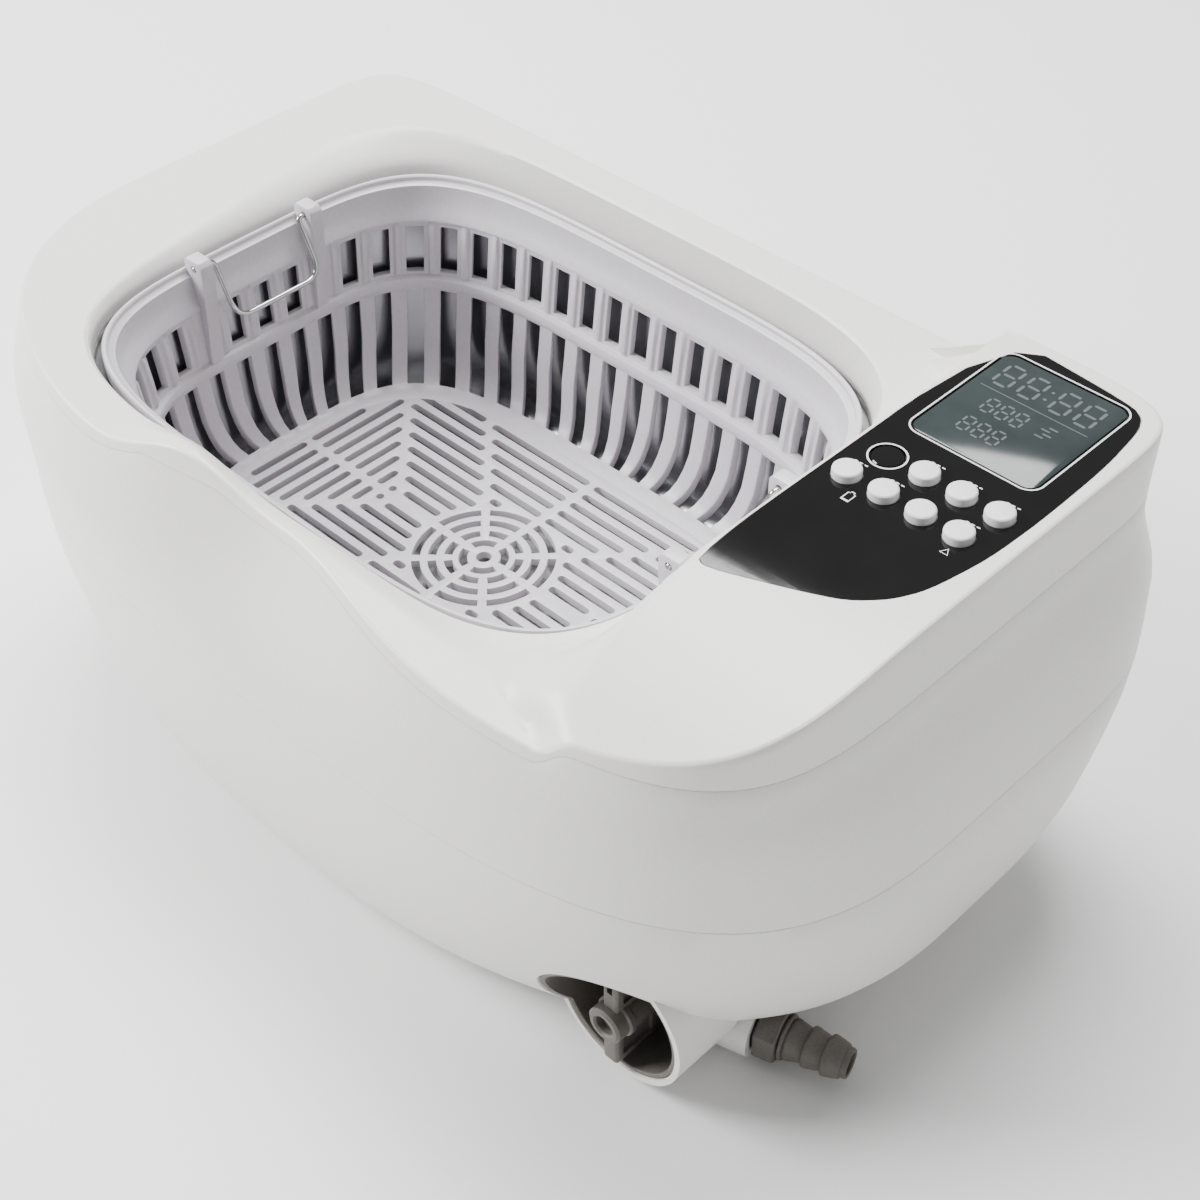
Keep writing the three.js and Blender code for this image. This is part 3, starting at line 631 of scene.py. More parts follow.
def overlay_solid(outline, above, below):
    """A sheet that follows the deck, in strips across it so that it can bend with the surface."""
    sheet = prism(outline, DECK - 20, DECK + 20)
    for y in range(-44, -14, 3):
        bmesh.ops.bisect_plane(sheet, geom=sheet.verts[:] + sheet.edges[:] + sheet.faces[:],
                               plane_co=(0, y, 0), plane_no=(0, 1, 0))
    for vert in sheet.verts:
        height = DECK - 0.0028 * max(0, -20 - vert.co.y) ** 2
        vert.co.z = height + (above if vert.co.z > DECK else -below)
    return sheet


deck_cuts = [("DIFFERENCE", overlay_solid(grown(overlay_outline, 0.25), 6, 0.9))]
deck_cuts += [("DIFFERENCE", bar(4.8, (x, y, 160), (x, y, 180), 32)) for x, y in BUTTONS]
deck_cuts += [("DIFFERENCE", bar(5.3, (*LAMP, 160), (*LAMP, 180), 32))]
deck_cuts += [("DIFFERENCE", prism(rounded_outline(SCREEN, (44.6, 50.6), 4.3), 160, 180))]
piece("top_cover_shell", carved(cover_shell(), deck_cuts), abs_white, "body", ["top_cover"])

# ---------------------------------------------------------------------------------------------
# The tank: a deep-drawn stainless pan with a flat flange that the cover sits on.
# A silicone ring seals the flange. The heater pad and the transducers are bonded underneath.
TANK_POWER = 4.2


def even_point(angle, half_length, half_width, power=TANK_POWER):
    return outline_point((half_length, half_length, half_width, half_width), (power,) * 4, angle)


def cup(outside, inside, steps):
    """A cup from rows of half length, half width and height.

    The outside rows run from the bottom up, and the inside rows from the top down.
    """
    columns = []
    for angle in steps:
        columns.append([(*even_point(angle, a, b), z) for a, b, z in outside + inside])
    return rings(columns, closed=False, caps=(0, len(columns[0]) - 1))


pan_outside = [
    (103, 68, 55), (106, 71, 55.3), (109, 74, 56.3), (111, 76.5, 58), (112.5, 78.3, 60.5), (113.6, 79.7, 64),
    (114.6, 81, 68), (115.4, 83, 90), (116.2, 85, 115), (117, 87, 138.6),
    (117.6, 87.6, 139.5), (118.6, 88.6, 139.8),
    (127, 97, 139.8), (127, 97, 140.8),
]
pan_inside = [
    (118, 88, 140.8), (116.8, 86.8, 140.4), (116.1, 86.1, 139), (115.2, 84, 115), (114.4, 82, 90),
    (113.6, 80, 68.2),
    (112.6, 78.7, 64.3), (111.5, 77.3, 61.2), (110, 75.5, 58.9), (108.2, 73.2, 57.1),
    (105.5, 70.5, 56.2), (103, 68, 56),
]
tank_cuts = [("DIFFERENCE", bar(6, (84, -44, 45), (84, -44, 65), 32))]
piece("tank_pan", carved(cup(pan_outside, pan_inside, angles(192)), tank_cuts), stainless,
      "body", ["tank"])


def silicone_rubber():
    # Pressed grey silicone: matt and slightly cloudy.
    material, tree = new_material("grey_silicone")
    shader = node(tree, "ShaderNodeBsdfPrincipled", Roughness=0.6)
    tinted(tree, shader, bumped(tree, shader, 1.5, 0.03), "8f8f8c", "9d9d9a")
    node(tree, "ShaderNodeOutputMaterial", [(shader.outputs[0], "Surface")])
    return material


def machined_aluminium():
    # Turned aluminium: bright, with a fine blur from the lathe's marks.
    material, tree = new_material("turned_aluminium")
    shader = node(tree, "ShaderNodeBsdfPrincipled", Metallic=1.0, Roughness=0.38)
    tinted(tree, shader, bumped(tree, shader, 0.6, 0.02), "b0b1b2", "c0c1c2")
    node(tree, "ShaderNodeOutputMaterial", [(shader.outputs[0], "Surface")])
    return material


def board_laminate():
    # Glass-filled circuit board with a green solder mask: satin, with a faint weave.
    material, tree = new_material("green_board_laminate")
    shader = node(tree, "ShaderNodeBsdfPrincipled", Roughness=0.45)
    tinted(tree, shader, bumped(tree, shader, 0.7, 0.02), "1a5034", "226040")
    node(tree, "ShaderNodeOutputMaterial", [(shader.outputs[0], "Surface")])
    return material


def varnished_iron():
    # Stacked iron sheets dipped in varnish: dark, with an uneven sheen.
    material, tree = new_material("varnished_iron")
    shader = node(tree, "ShaderNodeBsdfPrincipled", Metallic=0.8, Roughness=0.5)
    tinted(tree, shader, bumped(tree, shader, 2.0, 0.05), "45474a", "5a5c5f")
    node(tree, "ShaderNodeOutputMaterial", [(shader.outputs[0], "Surface")])
    return material


silicone = silicone_rubber()
aluminium = machined_aluminium()
laminate = board_laminate()
iron = varnished_iron()
for name in ("tank_gasket", "heater_pad", "drain_hose"):
    dress(name, silicone)
for name in ("transducer_left", "transducer_right"):
    dress(name, aluminium)
for name in ("main_board", "display_board"):
    dress(name, laminate)
dress("transformer", iron)

# ---------------------------------------------------------------------------------------------
# The drain valve: a dark grey nylon dish set in the drum, with a bar grip on a round hub.
# The dish's rim is cut to the curve of the housing. The grip has a moulded pocket on each side.


def moulded_nylon():
    # Dark grey glass-filled nylon: matt, with a fine grain from a spark-eroded mould.
    material, tree = new_material("dark_grey_nylon")
    shader = node(tree, "ShaderNodeBsdfPrincipled", Roughness=0.5)
    tinted(tree, shader, bumped(tree, shader, 0.6, 0.03), "5b5752", "68645e")
    node(tree, "ShaderNodeOutputMaterial", [(shader.outputs[0], "Surface")])
    return material


nylon = moulded_nylon()
DISH_OUTER, DISH_INNER, DISH_FLOOR = 23.7, 22.1, -66.3


def front_face(x, z, inset):
    """Where the front of the body is, at a given place across it and height."""
    (left, right, front, back), power = body_section(max(z, UNDERSIDE))
    left, right, front, back = left - inset, right - inset, front - inset, back - inset
    middle, half = (right - left) / 2, (right + left) / 2
    share = abs(x - middle) / half
    n = power[FRONT_LEFT if x < middle else FRONT_RIGHT]
    depth = (1 - min(1, share) ** n) ** (1 / n)
    return (back - front) / 2 - (back + front) / 2 * depth


def dish():
    columns = []
    for k in range(144):
        a = -k * math.tau / 144
        def rim_at(radius):
            x, z = VALVE_X + radius * math.cos(a), VALVE_Z + radius * math.sin(a)
            return min(MOUTH + 0.6, front_face(x, z, 0.6))
        profile = [
            (1.0, VALVE_FLOOR - 0.3), (DISH_OUTER - 0.8, VALVE_FLOOR - 0.3), (DISH_OUTER, VALVE_FLOOR - 1.1),
            (DISH_OUTER, -75), (DISH_OUTER, rim_at(DISH_OUTER) + 0.3), (DISH_OUTER - 0.3, rim_at(DISH_OUTER)),
            (DISH_INNER + 0.3, rim_at(DISH_INNER)), (DISH_INNER, rim_at(DISH_INNER) + 0.3),
            (DISH_INNER, -75), (DISH_INNER, DISH_FLOOR - 2), (DISH_INNER - 2, DISH_FLOOR), (1.0, DISH_FLOOR),
        ]
        columns.append([(VALVE_X + r * math.cos(a), y, VALVE_Z + r * math.sin(a)) for r, y in profile])
    bore = [("DIFFERENCE", along_y(5.3, -100, -40, 48))]
    return carved(rings(columns, closed=True), bore)


piece("valve_dish_cup", dish(), nylon, "body", ["valve_dish"])
for name in ("drain_elbow", "valve_body"):
    dress(name, nylon)


def bevelled(bm, width, segments=3):
    edges = [e for e in bm.edges if len(e.link_faces) == 2 and e.calc_face_angle() > math.radians(40)]
    bmesh.ops.bevel(bm, geom=edges, offset=width, affect="EDGES", segments=segments, profile=0.5, material=-1,
                    clamp_overlap=True)
    return bm


def turned_on_y(profile, steps=64):
    """Turned about the valve's own axis, from (radius, y) points."""
    bm = turned([(r, y) for r, y in profile], steps)
    spin = Matrix.Translation((VALVE_X, 0, VALVE_Z)) @ Matrix.Rotation(math.radians(-90), 4, "X")
    bmesh.ops.transform(bm, matrix=spin, verts=bm.verts)
    return bm


def grip():
    bm = block((VALVE_X - 3, -91, VALVE_Z - 20), (VALVE_X + 3, -70, VALVE_Z + 20))
    bevelled(bm, 1.1)
    pockets = []
    for side in (-1, 1):
        for low, high in ((-17, -8), (8, 17)):
            x = sorted((VALVE_X + side * 1.6, VALVE_X + side * 5))
            pocket = block((x[0], -88, VALVE_Z + low), (x[1], -75, VALVE_Z + high))
            pockets.append(("DIFFERENCE", bevelled(pocket, 0.8, 2)))
    pockets.append(("DIFFERENCE", block((VALVE_X - 1.1, -95, VALVE_Z + 13.5),
                                        (VALVE_X + 1.1, -86, VALVE_Z + 25))))
    return carved(bm, pockets)


hub_profile = [
    (0, -87.2), (3.0, -87.2), (3.6, -87.8), (3.6, -93.2), (4.2, -93.9), (5.6, -93.9), (6.5, -93.1),
    (6.5, -89), (7.2, -88.4),
    (7.2, -86.6), (6.5, -86), (6.5, -74), (7.2, -73.2), (12.3, -73), (13, -72.3), (13, -69.6), (12.4, -69),
    (4.8, -69), (4.8, -61), (0, -61),
]
piece("valve_hub", turned_on_y(hub_profile), nylon, "valve_knob", ["valve_knob"])
piece("valve_grip", grip(), nylon, "valve_knob")

# ---------------------------------------------------------------------------------------------
# The hose outlet: a six-sided nut and a barbed spigot, both in the same dark nylon.
# The three barbs are rounded rings that taper towards the open end.
drain_axis = Vector((math.cos(DRAIN_TURN), math.sin(DRAIN_TURN), 0))
drain_turn = drain_axis.to_track_quat("Z", "Y").to_matrix().to_4x4()
drain_frame = Matrix.Translation(drain_point(0)) @ drain_turn


def nut():
    bm = bmesh.new()
    bmesh.ops.create_cone(bm, cap_ends=True, segments=6, radius1=9.6, radius2=9.6, depth=7.5)
    bmesh.ops.translate(bm, vec=(0, 0, 3.75), verts=bm.verts)
    bevelled(bm, 0.7)
    bmesh.ops.transform(bm, matrix=drain_frame, verts=bm.verts)
    return carved(bm, [("DIFFERENCE", bar(5.4, drain_point(-5), drain_point(20), 48))])


barb_profile = [(0, -7.5), (4.7, -7.5), (5.1, -7.1), (5.1, 7.9), (7.3, 7.9), (7.6, 8.2),
                (7.6, 8.9), (7.3, 9.2)]
for start in (9.4, 15.6, 22):
    barb_profile += [(6.5, start), (6.8, start + 0.4), (6.9, start + 1.0), (6.75, start + 1.9),
                     (5.9, start + 5.4), (5.6, start + 5.9)]
barb_profile += [(5.1, 28.1), (5.1, 29.4), (4.8, 30), (4.3, 30), (4, 29.6), (4, 4), (0, 4)]


def barb():
    bm = turned(barb_profile, 64)
    bmesh.ops.transform(bm, matrix=drain_frame, verts=bm.verts)
    return bm


piece("outlet_nut", nut(), nylon, "body", ["hose_nut"])
piece("outlet_barb", barb(), nylon, "body", ["hose_barb"])

# ---------------------------------------------------------------------------------------------
# The control panel: a glossy black printed sheet stuck into a recess in the deck.
# A white line is printed round the display, with small plain signs beside some buttons.


def printed_film():
    # Polyester film printed black on its back: a deep gloss with faint waviness.
    material, tree = new_material("black_printed_film")
    shader = node(tree, "ShaderNodeBsdfPrincipled", Roughness=0.09)
    tinted(tree, shader, bumped(tree, shader, 14, 0.02), "070707", "0b0b0c")
    node(tree, "ShaderNodeOutputMaterial", [(shader.outputs[0], "Surface")])
    return material


def print_ink(name, colour):
    # Screen-printed ink: one even colour, satin, with the faint grain of the printing mesh.
    material, tree = new_material(name)
    shader = node(tree, "ShaderNodeBsdfPrincipled", Base_Color=linear(colour), Roughness=0.5)
    bumped(tree, shader, 0.5, 0.005)
    node(tree, "ShaderNodeOutputMaterial", [(shader.outputs[0], "Surface")])
    return material


def smoked_window():
    # Smoked acrylic over the display: glossy, dark grey-green, with faint flow lines.
    material, tree = new_material("smoked_acrylic")
    shader = node(tree, "ShaderNodeBsdfPrincipled", Roughness=0.12, IOR=1.49)
    tinted(tree, shader, bumped(tree, shader, 10, 0.01), "2a3131", "303838")
    node(tree, "ShaderNodeOutputMaterial", [(shader.outputs[0], "Surface")])
    return material


def satin_button():
    # Moulded white polycarbonate: satin, with a finely etched top.
    material, tree = new_material("etched_white_polycarbonate")
    shader = node(tree, "ShaderNodeBsdfPrincipled", Roughness=0.48)
    tinted(tree, shader, bumped(tree, shader, 0.35, 0.008), "e0e0e1", "e6e6e7")
    node(tree, "ShaderNodeOutputMaterial", [(shader.outputs[0], "Surface")])
    return material


film = printed_film()
white_ink = print_ink("white_screen_ink", "dcdcdc")
digit_ink = print_ink("liquid_crystal_segments", "475150")
window_acrylic = smoked_window()
button_white = satin_button()
overlay_cuts = [("DIFFERENCE", bar(4.8, (x, y, 160), (x, y, 190), 32)) for x, y in BUTTONS]
overlay_cuts += [("DIFFERENCE", bar(5.3, (*LAMP, 160), (*LAMP, 190), 32))]
overlay_cuts += [("DIFFERENCE", prism(rounded_outline(SCREEN, (44.6, 50.6), 4.3), 160, 190))]
piece("panel_film", carved(overlay_solid(overlay_outline, 0, 0.8), overlay_cuts), film,
      "body", ["panel_overlay"])
piece("screen_window",
      bevelled(prism(rounded_outline(SCREEN, SCREEN_SIZE, 4), DECK - WALL, DECK - 0.05), 0.25, 2),
      window_acrylic, "body", ["display_window"])
dress("lcd_module", window_acrylic)
INK = 0.05


def outline_band(points_out, points_in, name, material):
    columns = [[(*o, DECK), (*o, DECK + INK), (*i, DECK + INK), (*i, DECK)]
               for o, i in zip(points_out, points_in)]
    piece(name, rings(columns), material, "body")


outline_band(rounded_outline(SCREEN, (46.6, 52.6), 5.3, 12), rounded_outline(SCREEN, (45.5, 51.5), 4.75, 12),
             "screen_frame_print", white_ink)


def circle_points(centre, radius, steps=64):
    return [(centre[0] + radius * math.cos(k * math.tau / steps),
             centre[1] + radius * math.sin(k * math.tau / steps))
            for k in range(steps)]


outline_band(circle_points(LAMP, 6.1), circle_points(LAMP, 5.55), "lamp_ring_print", white_ink)
lamp_profile = [(0, DECK - 4.8), (5, DECK - 4.8), (5, DECK - 0.3), (4.6, DECK + 0.1), (0, DECK + 0.2)]
lamp_lens = turned(lamp_profile, 48)
bmesh.ops.translate(lamp_lens, vec=(*LAMP, 0), verts=lamp_lens.verts)
piece("lamp_lens", lamp_lens, film, "body", ["indicator_lens"])

button_profile = [
    (0, 170.7), (5.3, 170.7), (5.5, 170.9), (5.5, 171.5), (5.3, 171.7), (4.5, 171.7), (4.5, 176.7),
    (4.35, 177.2),
    (4.0, 177.5), (3.4, 177.6), (0, 177.6),
]
for number, (x, y) in enumerate(BUTTONS, 1):
    cap = turned(button_profile, 64)
    bmesh.ops.translate(cap, vec=(x, y, 0), verts=cap.verts)
    piece(f"button_{number}_cap", cap, button_white, f"button_{number}", [f"button_{number}"])


def segment(bm, x, y, length, width, upright, bottom):
    """One bar of a figure, pointed at both ends."""
    half, side = length / 2, width / 2
    corners = [(-half, 0), (-half + side, -side), (half - side, -side), (half, 0),
               (half - side, side), (-half + side, side)]
    if upright:
        corners = [(-b, a) for a, b in corners]
    face = bm.faces.new([bm.verts.new((x + a, y + b, bottom)) for a, b in corners])
    raised = bmesh.ops.extrude_face_region(bm, geom=[face])["geom"]
    bmesh.ops.translate(bm, vec=(0, 0, INK), verts=[v for v in raised if isinstance(v, bmesh.types.BMVert)])


def figure(bm, x, y, width, height, line, bottom):
    """A seven-bar figure with its lower left corner at x, y."""
    middle, tall = x + width / 2, height / 2
    for k in range(3):
        segment(bm, middle, y + k * tall, width - line * 1.3, line, False, bottom)
    for column in (x, x + width):
        for k in range(2):
            segment(bm, column, y + (k + 0.5) * tall, tall - line * 1.3, line, True, bottom)


def finished_print(bm, name, material):
    bmesh.ops.recalc_face_normals(bm, faces=bm.faces)
    piece(name, bm, material, "body")


figures = bmesh.new()
window_top = DECK - 0.05
for x in (144.5, 153.3, 164.5, 173.3):
    figure(figures, x, 78.5, 5.6, 11, 1.0, window_top)
for y in (81.8, 86.2):
    segment(figures, 161.6, y, 1.4, 1.1, False, window_top)
for x in (150, 155.2, 160.4):
    figure(figures, x, 64.8, 3.4, 7, 0.7, window_top)
    figure(figures, x, 53.2, 3.4, 7, 0.7, window_top)
segment(figures, 162, 75.4, 38, 0.35, False, window_top)
for k in range(4):
    segment(figures, 170.5 + 1.6 * (k % 2), 66 + 1.8 * k, 3.2, 0.6, False, window_top)
finished_print(figures, "display_figures", digit_ink)

signs = bmesh.new()
for x, y in BUTTONS[:2] + BUTTONS[3:]:
    for k in range(3):
        segment(signs, x - 1.8 + k * 1.8, y + 6.6, 1.3, 0.45, False, DECK)
finished_print(signs, "button_mark_print", white_ink)


def sign_outline(points, name):
    centre = (sum(p[0] for p in points) / len(points), sum(p[1] for p in points) / len(points))
    inner = [(centre[0] + (x - centre[0]) * 0.78, centre[1] + (y - centre[1]) * 0.78) for x, y in points]
    outline_band(points, inner, name, white_ink)


sign_outline([(180.6, 5.6), (183.4, 5.6), (182, 8.2)], "triangle_sign_print")
sign_outline([(146.8, 4.6), (149.6, 4.6), (149.6, 8.4), (148.9, 8.4), (148.9, 9.2),
              (147.5, 9.2), (147.5, 8.4), (146.8, 8.4)],
             "vessel_sign_print")

# ---------------------------------------------------------------------------------------------
# The mains inlet: a three-pin socket let into the back of the tub.
# It is moulded in black nylon, and fills its opening in the wall.


def moulded_black_nylon():
    # Black moulded nylon: a low gloss and a fine grain.
    material, tree = new_material("black_moulded_nylon")
    shader = node(tree, "ShaderNodeBsdfPrincipled", Roughness=0.42)
    tinted(tree, shader, bumped(tree, shader, 0.5, 0.02), "121213", "19191a")
    node(tree, "ShaderNodeOutputMaterial", [(shader.outputs[0], "Surface")])
    return material


dress("inlet_socket", moulded_black_nylon())

# ---------------------------------------------------------------------------------------------
# The basket: one moulding in pale lilac-grey plastic, with two rows of slots round the wall
# and an inward ledge between them. The lower slots run down into the curve of the floor.


def moulded_polypropylene():
    # Moulded polypropylene: soft sheen, slightly waxy, so that light goes a little way in.
    material, tree = new_material("lilac_grey_polypropylene")
    shader = node(tree, "ShaderNodeBsdfPrincipled", Roughness=0.33, IOR=1.49, Subsurface_Weight=0.08)
    shader.inputs["Subsurface Scale"].default_value = 1.5 * MM
    tinted(tree, shader, bumped(tree, shader, 1.4, 0.012), "c9c5ca", "cfcbd0")
    node(tree, "ShaderNodeOutputMaterial", [(shader.outputs[0], "Surface")])
    return material


SLOTS = 52
SLOT_WIDTH = 6.8
EAR_Y = 24.5
RIB_HEIGHT = 0.9
# half length and half width of the inner face and its height, then the same for the outer face
WALL_ROWS = [
    ((98, 60, 67), (98, 60, 64)),
    ((101, 63.2, 67.3), (102, 64.2, 64.3)),
    ((103.6, 65.9, 68.6), (105.2, 67.6, 65.6)),
    ((106, 68.6, 71), (108, 70.9, 68.4)),
    ((107.9, 70.9, 74.6), (110.2, 73.5, 72.6)),
    ((109.2, 72.7, 79.5), (111.6, 75.4, 78.4)),
    ((110, 74.3, 86), (112.4, 77, 86)),
    ((110.6, 75.9, 95), (113, 78.5, 95)),
    ((111, 77, 103), (113.3, 79.5, 103)),
    ((111, 77.2, 104.6), (113.4, 79.7, 104.6)),
    ((109.4, 75.6, 105.1), (113.4, 79.8, 105.1)),
    ((109.1, 75.3, 105.7), (113.4, 79.9, 105.9)),
    ((109.1, 75.3, 108.6), (113.5, 80.2, 108.7)),
    ((109.4, 75.6, 109.2), (113.5, 80.3, 109.3)),
    ((111.1, 77.6, 109.7), (113.6, 80.5, 110)),
    ((111.2, 77.9, 111), (113.6, 80.6, 111)),
    ((111.5, 79, 120), (113.9, 81.7, 120)),
    ((111.9, 80.3, 129.5), (114.2, 83, 129.5)),
    ((112, 80.6, 131.4), (114.3, 83.3, 131.4)),
    ((111.2, 79.9, 131.9), (114.3, 83.4, 131.9)),
    ((111.3, 80.1, 132.9), (114.4, 83.6, 132.9)),
    ((112.9, 82, 135.6), (114.5, 84.2, 135.6)),
    ((113.8, 83.3, 139), (114.5, 84.9, 139)),
    ((114.2, 84, 142), (114.6, 85, 141.1)),
    ((114.4, 84.4, 144.4), (117.5, 87.5, 141.2)),
    ((115.5, 85.5, 144.7), (118, 88, 141.8)),
    ((116.2, 86.2, 145.4), (118, 88, 144)),
    ((116.4, 86.4, 146.6), (118, 88, 146.3)),
    ((116.8, 86.8, 147), (117.6, 87.6, 147)),
]
LOWER_SLOT_ROWS = range(2, 8)
UPPER_SLOT_ROWS = range(15, 17)
RIB_ROWS = range(15, 18)


def slot_columns():
    """Angles round the wall, four across each slot and four across each bar, and what each one is in."""
    fine = 6000
    points = [even_point(k / fine * math.tau, 113, 80) for k in range(fine + 1)]
    travelled = [0.0]
    for a, b in zip(points, points[1:]):
        travelled.append(travelled[-1] + math.dist(a, b))
    pitch = travelled[-1] / SLOTS
    half = SLOT_WIDTH / 2
    offsets = [-half, -half / 3, half / 3, half,
               pitch / 2 - 1.5, pitch / 2 - 0.8, pitch / 2 + 0.8, pitch / 2 + 1.5]
    found = []
    k = 0
    for slot in range(SLOTS):
        for place, offset in enumerate(offsets):
            target = (slot * pitch + offset) % travelled[-1]
            k = 0 if target < travelled[k] else k
            while travelled[k + 1] < target:
                k += 1
            part = (target - travelled[k]) / (travelled[k + 1] - travelled[k])
            found.append(((k + part) / fine * math.tau, place))
    return found


def basket_wall():
    bm = bmesh.new()
    columns = slot_columns()
    rows = len(WALL_ROWS)
    inner, outer = [], []
    for angle, place in columns:
        faces_in, faces_out = [], []
        for row, ((a, b, z), (c, d, w)) in enumerate(WALL_ROWS):
            power = 3.6 + 0.6 * min(1, row / 6)
            rib = RIB_HEIGHT if place in (5, 6) and row in RIB_ROWS else 0
            faces_in.append(bm.verts.new((*even_point(angle, a - rib, b - rib, power), z)))
            faces_out.append(bm.verts.new((*even_point(angle, c, d, power), w)))
        inner.append(faces_in)
        outer.append(faces_out)

    def solid(column, row):
        angle, place = columns[column % len(columns)]
        if row < 0 or row >= rows - 1:
            return False
        in_slot = place in (0, 1, 2)
        x, y = even_point(angle, 113, 80)
        beside_ear = abs(x) > 100 and abs(abs(y) - EAR_Y) < 7.5
        return not (in_slot and (row in LOWER_SLOT_ROWS or (row in UPPER_SLOT_ROWS and not beside_ear)))

    for i in range(len(columns)):
        j = (i + 1) % len(columns)
        for row in range(rows - 1):
            if not solid(i, row):
                continue
            bm.faces.new((inner[i][row], inner[j][row], inner[j][row + 1], inner[i][row + 1]))
            bm.faces.new((outer[i][row], outer[i][row + 1], outer[j][row + 1], outer[j][row]))
            if not solid(i - 1, row):
                bm.faces.new((inner[i][row], inner[i][row + 1], outer[i][row + 1], outer[i][row]))
            if not solid(i + 1, row):
                bm.faces.new((inner[j][row], outer[j][row], outer[j][row + 1], inner[j][row + 1]))
            if not solid(i, row - 1):
                bm.faces.new((inner[i][row], outer[i][row], outer[j][row], inner[j][row]))
            if not solid(i, row + 1):
                bm.faces.new((inner[i][row + 1], inner[j][row + 1], outer[j][row + 1], outer[i][row + 1]))
    bmesh.ops.recalc_face_normals(bm, faces=bm.faces)
    slot_edges = [e for e in bm.edges if len(e.link_faces) == 2 and e.calc_face_angle() > math.radians(55)
                  and 66 < (e.verts[0].co.z + e.verts[1].co.z) / 2 < 131]
    bmesh.ops.bevel(bm, geom=slot_edges, offset=0.35, affect="EDGES", segments=2, profile=0.5, material=-1,
                    clamp_overlap=True)
    return bm


FLOOR_TOP = 67
FLOOR_UNDER = 64
PITCH = 6.2
SLOT = 3.1
APEX = 44.5
RINGS = ((7.4, 4), (12.6, 8), (18.3, 8), (24, 8))


def joined(parts):
    whole = bmesh.new()
    for part in parts:
        mesh = bpy.data.meshes.new("part")
        part.to_mesh(mesh)
        part.free()
        whole.from_mesh(mesh)
        bpy.data.meshes.remove(mesh)
    return whole


def straight_slots():
    found = []

    def cut(x0, x1, y0, y1):
        for sx in (-1, 1):
            for sy in (-1, 1):
                xs, ys = sorted((sx * x0, sx * x1)), sorted((sy * y0, sy * y1))
                end = min(x1 - x0, y1 - y0) / 2 - 0.05
                middle = ((xs[0] + xs[1]) / 2, (ys[0] + ys[1]) / 2)
                outline = rounded_outline(middle, (x1 - x0, y1 - y0), end, 4)
                found.append(prism(outline, FLOOR_UNDER - 4, FLOOR_TOP + 4))

    x = APEX + 7
    while x < 97:
        edge = 57.5 * (1 - (x / 98.5) ** 7) ** 0.5
        cut(x - SLOT / 2, x + SLOT / 2, 1.5, min(x - APEX - 2.4, edge))
        x += PITCH
    y = 4.6
    while y < 58:
        inner = math.sqrt(27.5 ** 2 - y ** 2) + 1 if y < 27.5 else 1.5
        outer = min(y + APEX - 2.4, 94)
        if y - 2.2 - inner > 3.2:
            cut(inner, y - 2.2, y - SLOT / 2, y + SLOT / 2)
        cut(max(y + 2.2, inner), outer, y - SLOT / 2, y + SLOT / 2)
        y += PITCH
    return found


def ring_slots():
    found = [prism(circle_points((0, 0), 2.8, 32), FLOOR_UNDER - 4, FLOOR_TOP + 4)]
    for radius, count in RINGS:
        step, spoke = math.tau / count, SLOT / radius
        for k in range(count):
            turns = [k * step + spoke / 2 + (step - spoke) * i / 12 for i in range(13)]
            outside = [((radius + SLOT / 2) * math.cos(a), (radius + SLOT / 2) * math.sin(a)) for a in turns]
            inside = [((radius - SLOT / 2) * math.cos(a), (radius - SLOT / 2) * math.sin(a))
                      for a in reversed(turns)]
            found.append(prism(outside + inside, FLOOR_UNDER - 4, FLOOR_TOP + 4))
    return found


def basket_floor_plate():
    outline = [even_point(angle, 98, 60, 3.6) for angle, _ in slot_columns()]
    plate = carved(prism(outline, FLOOR_UNDER, FLOOR_TOP),
                   [("DIFFERENCE", joined(straight_slots() + ring_slots()))])
    lips = [e for e in plate.edges if len(e.link_faces) == 2 and e.calc_face_angle() > math.radians(60)
            and min(v.co.z for v in e.verts) > FLOOR_TOP - 0.01
            and max((abs(v.co.x) / 97.5) ** 3.6 + (abs(v.co.y) / 59.5) ** 3.6 for v in e.verts) < 1]
    bmesh.ops.bevel(plate, geom=lips, offset=0.3, affect="EDGES", segments=2, profile=0.5, material=-1,
                    clamp_overlap=True)
    return plate


PIVOT_X, PIVOT_Z = 111.6, 148.2


def ear(side, y):
    """A post that tapers from the rim down to the ledge, with a hole for the bail."""
    outline = [(112.5, 105), (109.3, 109), (107.4, 143), (107.4, 150), (109, 151.6),
               (115.6, 151.6), (117, 150), (117, 144), (113.5, 137)]
    bm = bmesh.new()
    face = bm.faces.new([bm.verts.new((side * x, y - 2.75, z)) for x, z in outline])
    raised = bmesh.ops.extrude_face_region(bm, geom=[face])["geom"]
    bmesh.ops.translate(bm, vec=(0, 5.5, 0), verts=[v for v in raised if isinstance(v, bmesh.types.BMVert)])
    bmesh.ops.recalc_face_normals(bm, faces=bm.faces)
    bevelled(bm, 0.5, 2)
    return carved(bm, [("DIFFERENCE", bar(1.35, (side * PIVOT_X, y - 6, PIVOT_Z),
                                      (side * PIVOT_X, y + 6, PIVOT_Z), 32))])


polypropylene = moulded_polypropylene()
piece("basket_wall", basket_wall(), polypropylene, "basket", ["basket"], 35)
piece("basket_floor", basket_floor_plate(), polypropylene, "basket", (), 35)
for side, end in ((-1, "left"), (1, "right")):
    for y, place in ((-EAR_Y, "front"), (EAR_Y, "back")):
        piece(f"basket_post_{end}_{place}", ear(side, y), polypropylene, "basket")

# ---------------------------------------------------------------------------------------------
# The bails: polished stainless wire bent to a square loop, with its ends turned out through
# the holes in the posts. Each one hangs inwards against the ledge.
WIRE = 0.95
LEG, LEG_Y, WIRE_END, CORNER = 22, 18.9, 27.6, 7
LEAN = math.radians(27)


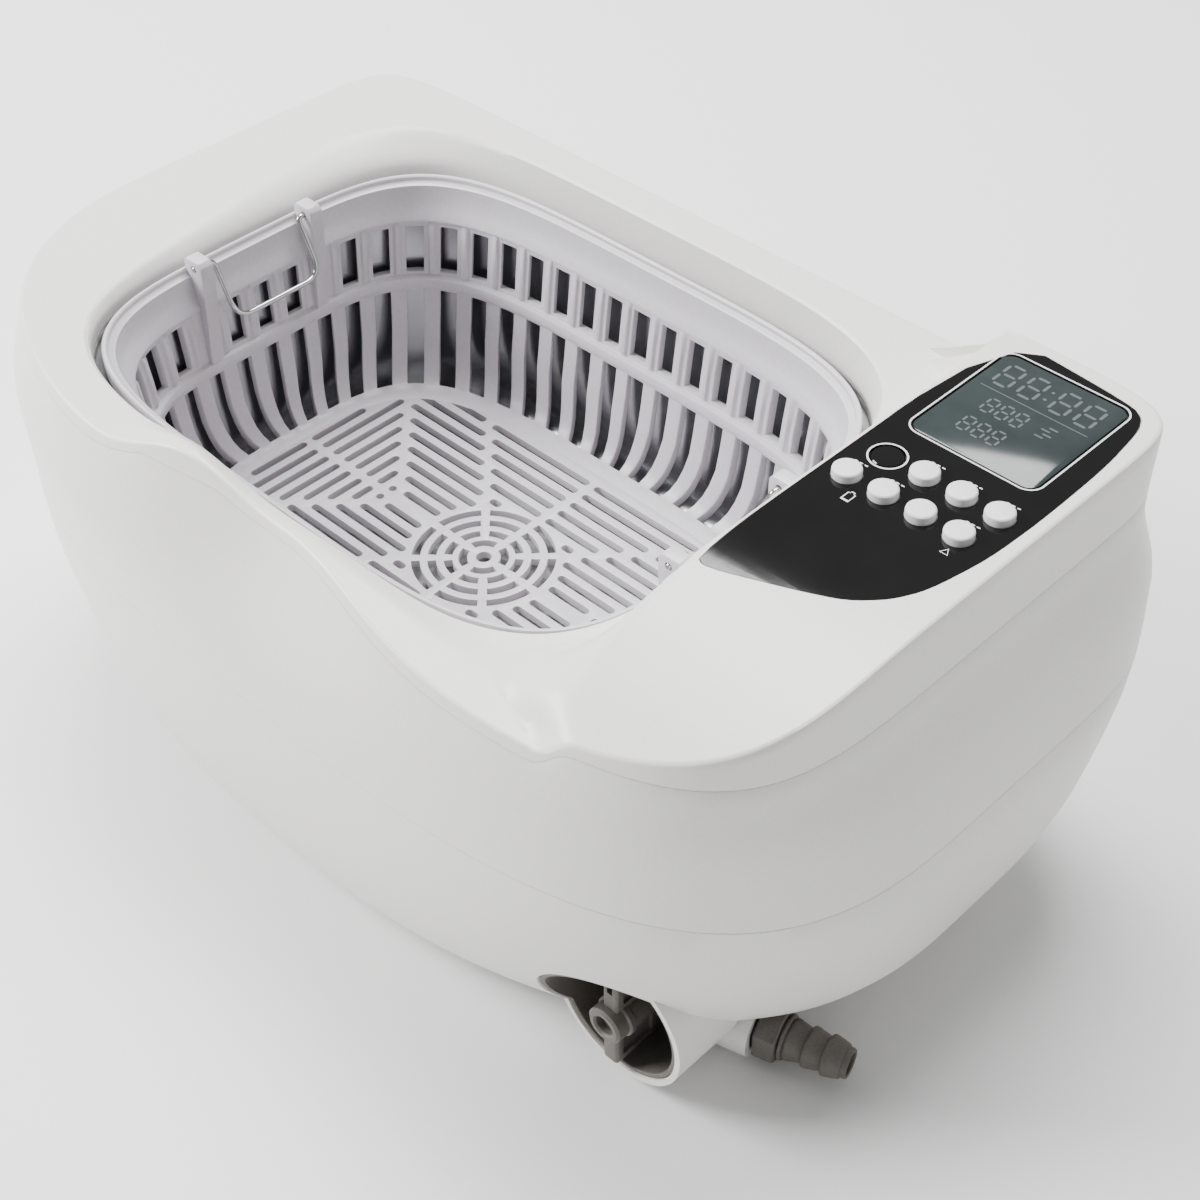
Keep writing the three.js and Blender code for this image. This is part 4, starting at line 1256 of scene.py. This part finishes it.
def polished_wire():
    # Drawn and polished stainless wire: mirror-bright, with faint lines along it.
    material, tree = new_material("polished_stainless_wire")
    shader = node(tree, "ShaderNodeBsdfPrincipled", Metallic=1.0, Roughness=0.12)
    tinted(tree, shader, bumped(tree, shader, 0.5, 0.006), "b9bab9", "c6c7c6")
    node(tree, "ShaderNodeOutputMaterial", [(shader.outputs[0], "Surface")])
    return material


def rounded_path(points, radii, steps=8):
    path = [Vector(points[0])]
    for before, at, after, radius in zip(points, points[1:], points[2:], radii):
        at = Vector(at)
        start = at + (Vector(before) - at).normalized() * radius
        end = at + (Vector(after) - at).normalized() * radius
        path += [start.lerp(at, k / steps).lerp(at.lerp(end, k / steps), k / steps) for k in range(steps + 1)]
    return path + [Vector(points[-1])]


def bent_wire(path, radius, sides=16):
    columns = []
    across = Vector((1, 0, 0))
    for k, point in enumerate(path):
        along = (path[min(k + 1, len(path) - 1)] - path[max(k - 1, 0)]).normalized()
        across = (across - along * across.dot(along)).normalized()
        other = along.cross(across)
        shrink = 0.75 if k in (0, len(path) - 1) else 1.0
        columns.append([point + (across * math.cos(a) + other * math.sin(a)) * radius * shrink
                        for a in (i * math.tau / sides for i in range(sides))])
    bm = rings([list(column) for column in zip(*columns)], closed=False)
    bmesh.ops.holes_fill(bm, edges=[e for e in bm.edges if e.is_boundary], sides=sides)
    bmesh.ops.recalc_face_normals(bm, faces=bm.faces)
    return bm


def bail(side):
    def hang(depth, y):
        return (side * (PIVOT_X - depth * math.sin(LEAN)), y, PIVOT_Z - depth * math.cos(LEAN))
    corners = [hang(0, WIRE_END), hang(0, WIRE_END - 0.4), hang(0, LEG_Y), hang(LEG, LEG_Y),
               hang(LEG, -LEG_Y),
               hang(0, -LEG_Y), hang(0, 0.4 - WIRE_END), hang(0, -WIRE_END)]
    return bent_wire(rounded_path(corners, (0.1, 2.2, CORNER, CORNER, 2.2, 0.1)), WIRE)


wire_steel = polished_wire()
for side, name in ((-1, "handle_left"), (1, "handle_right")):
    piece(f"{name}_wire", bail(side), wire_steel, name, [name])
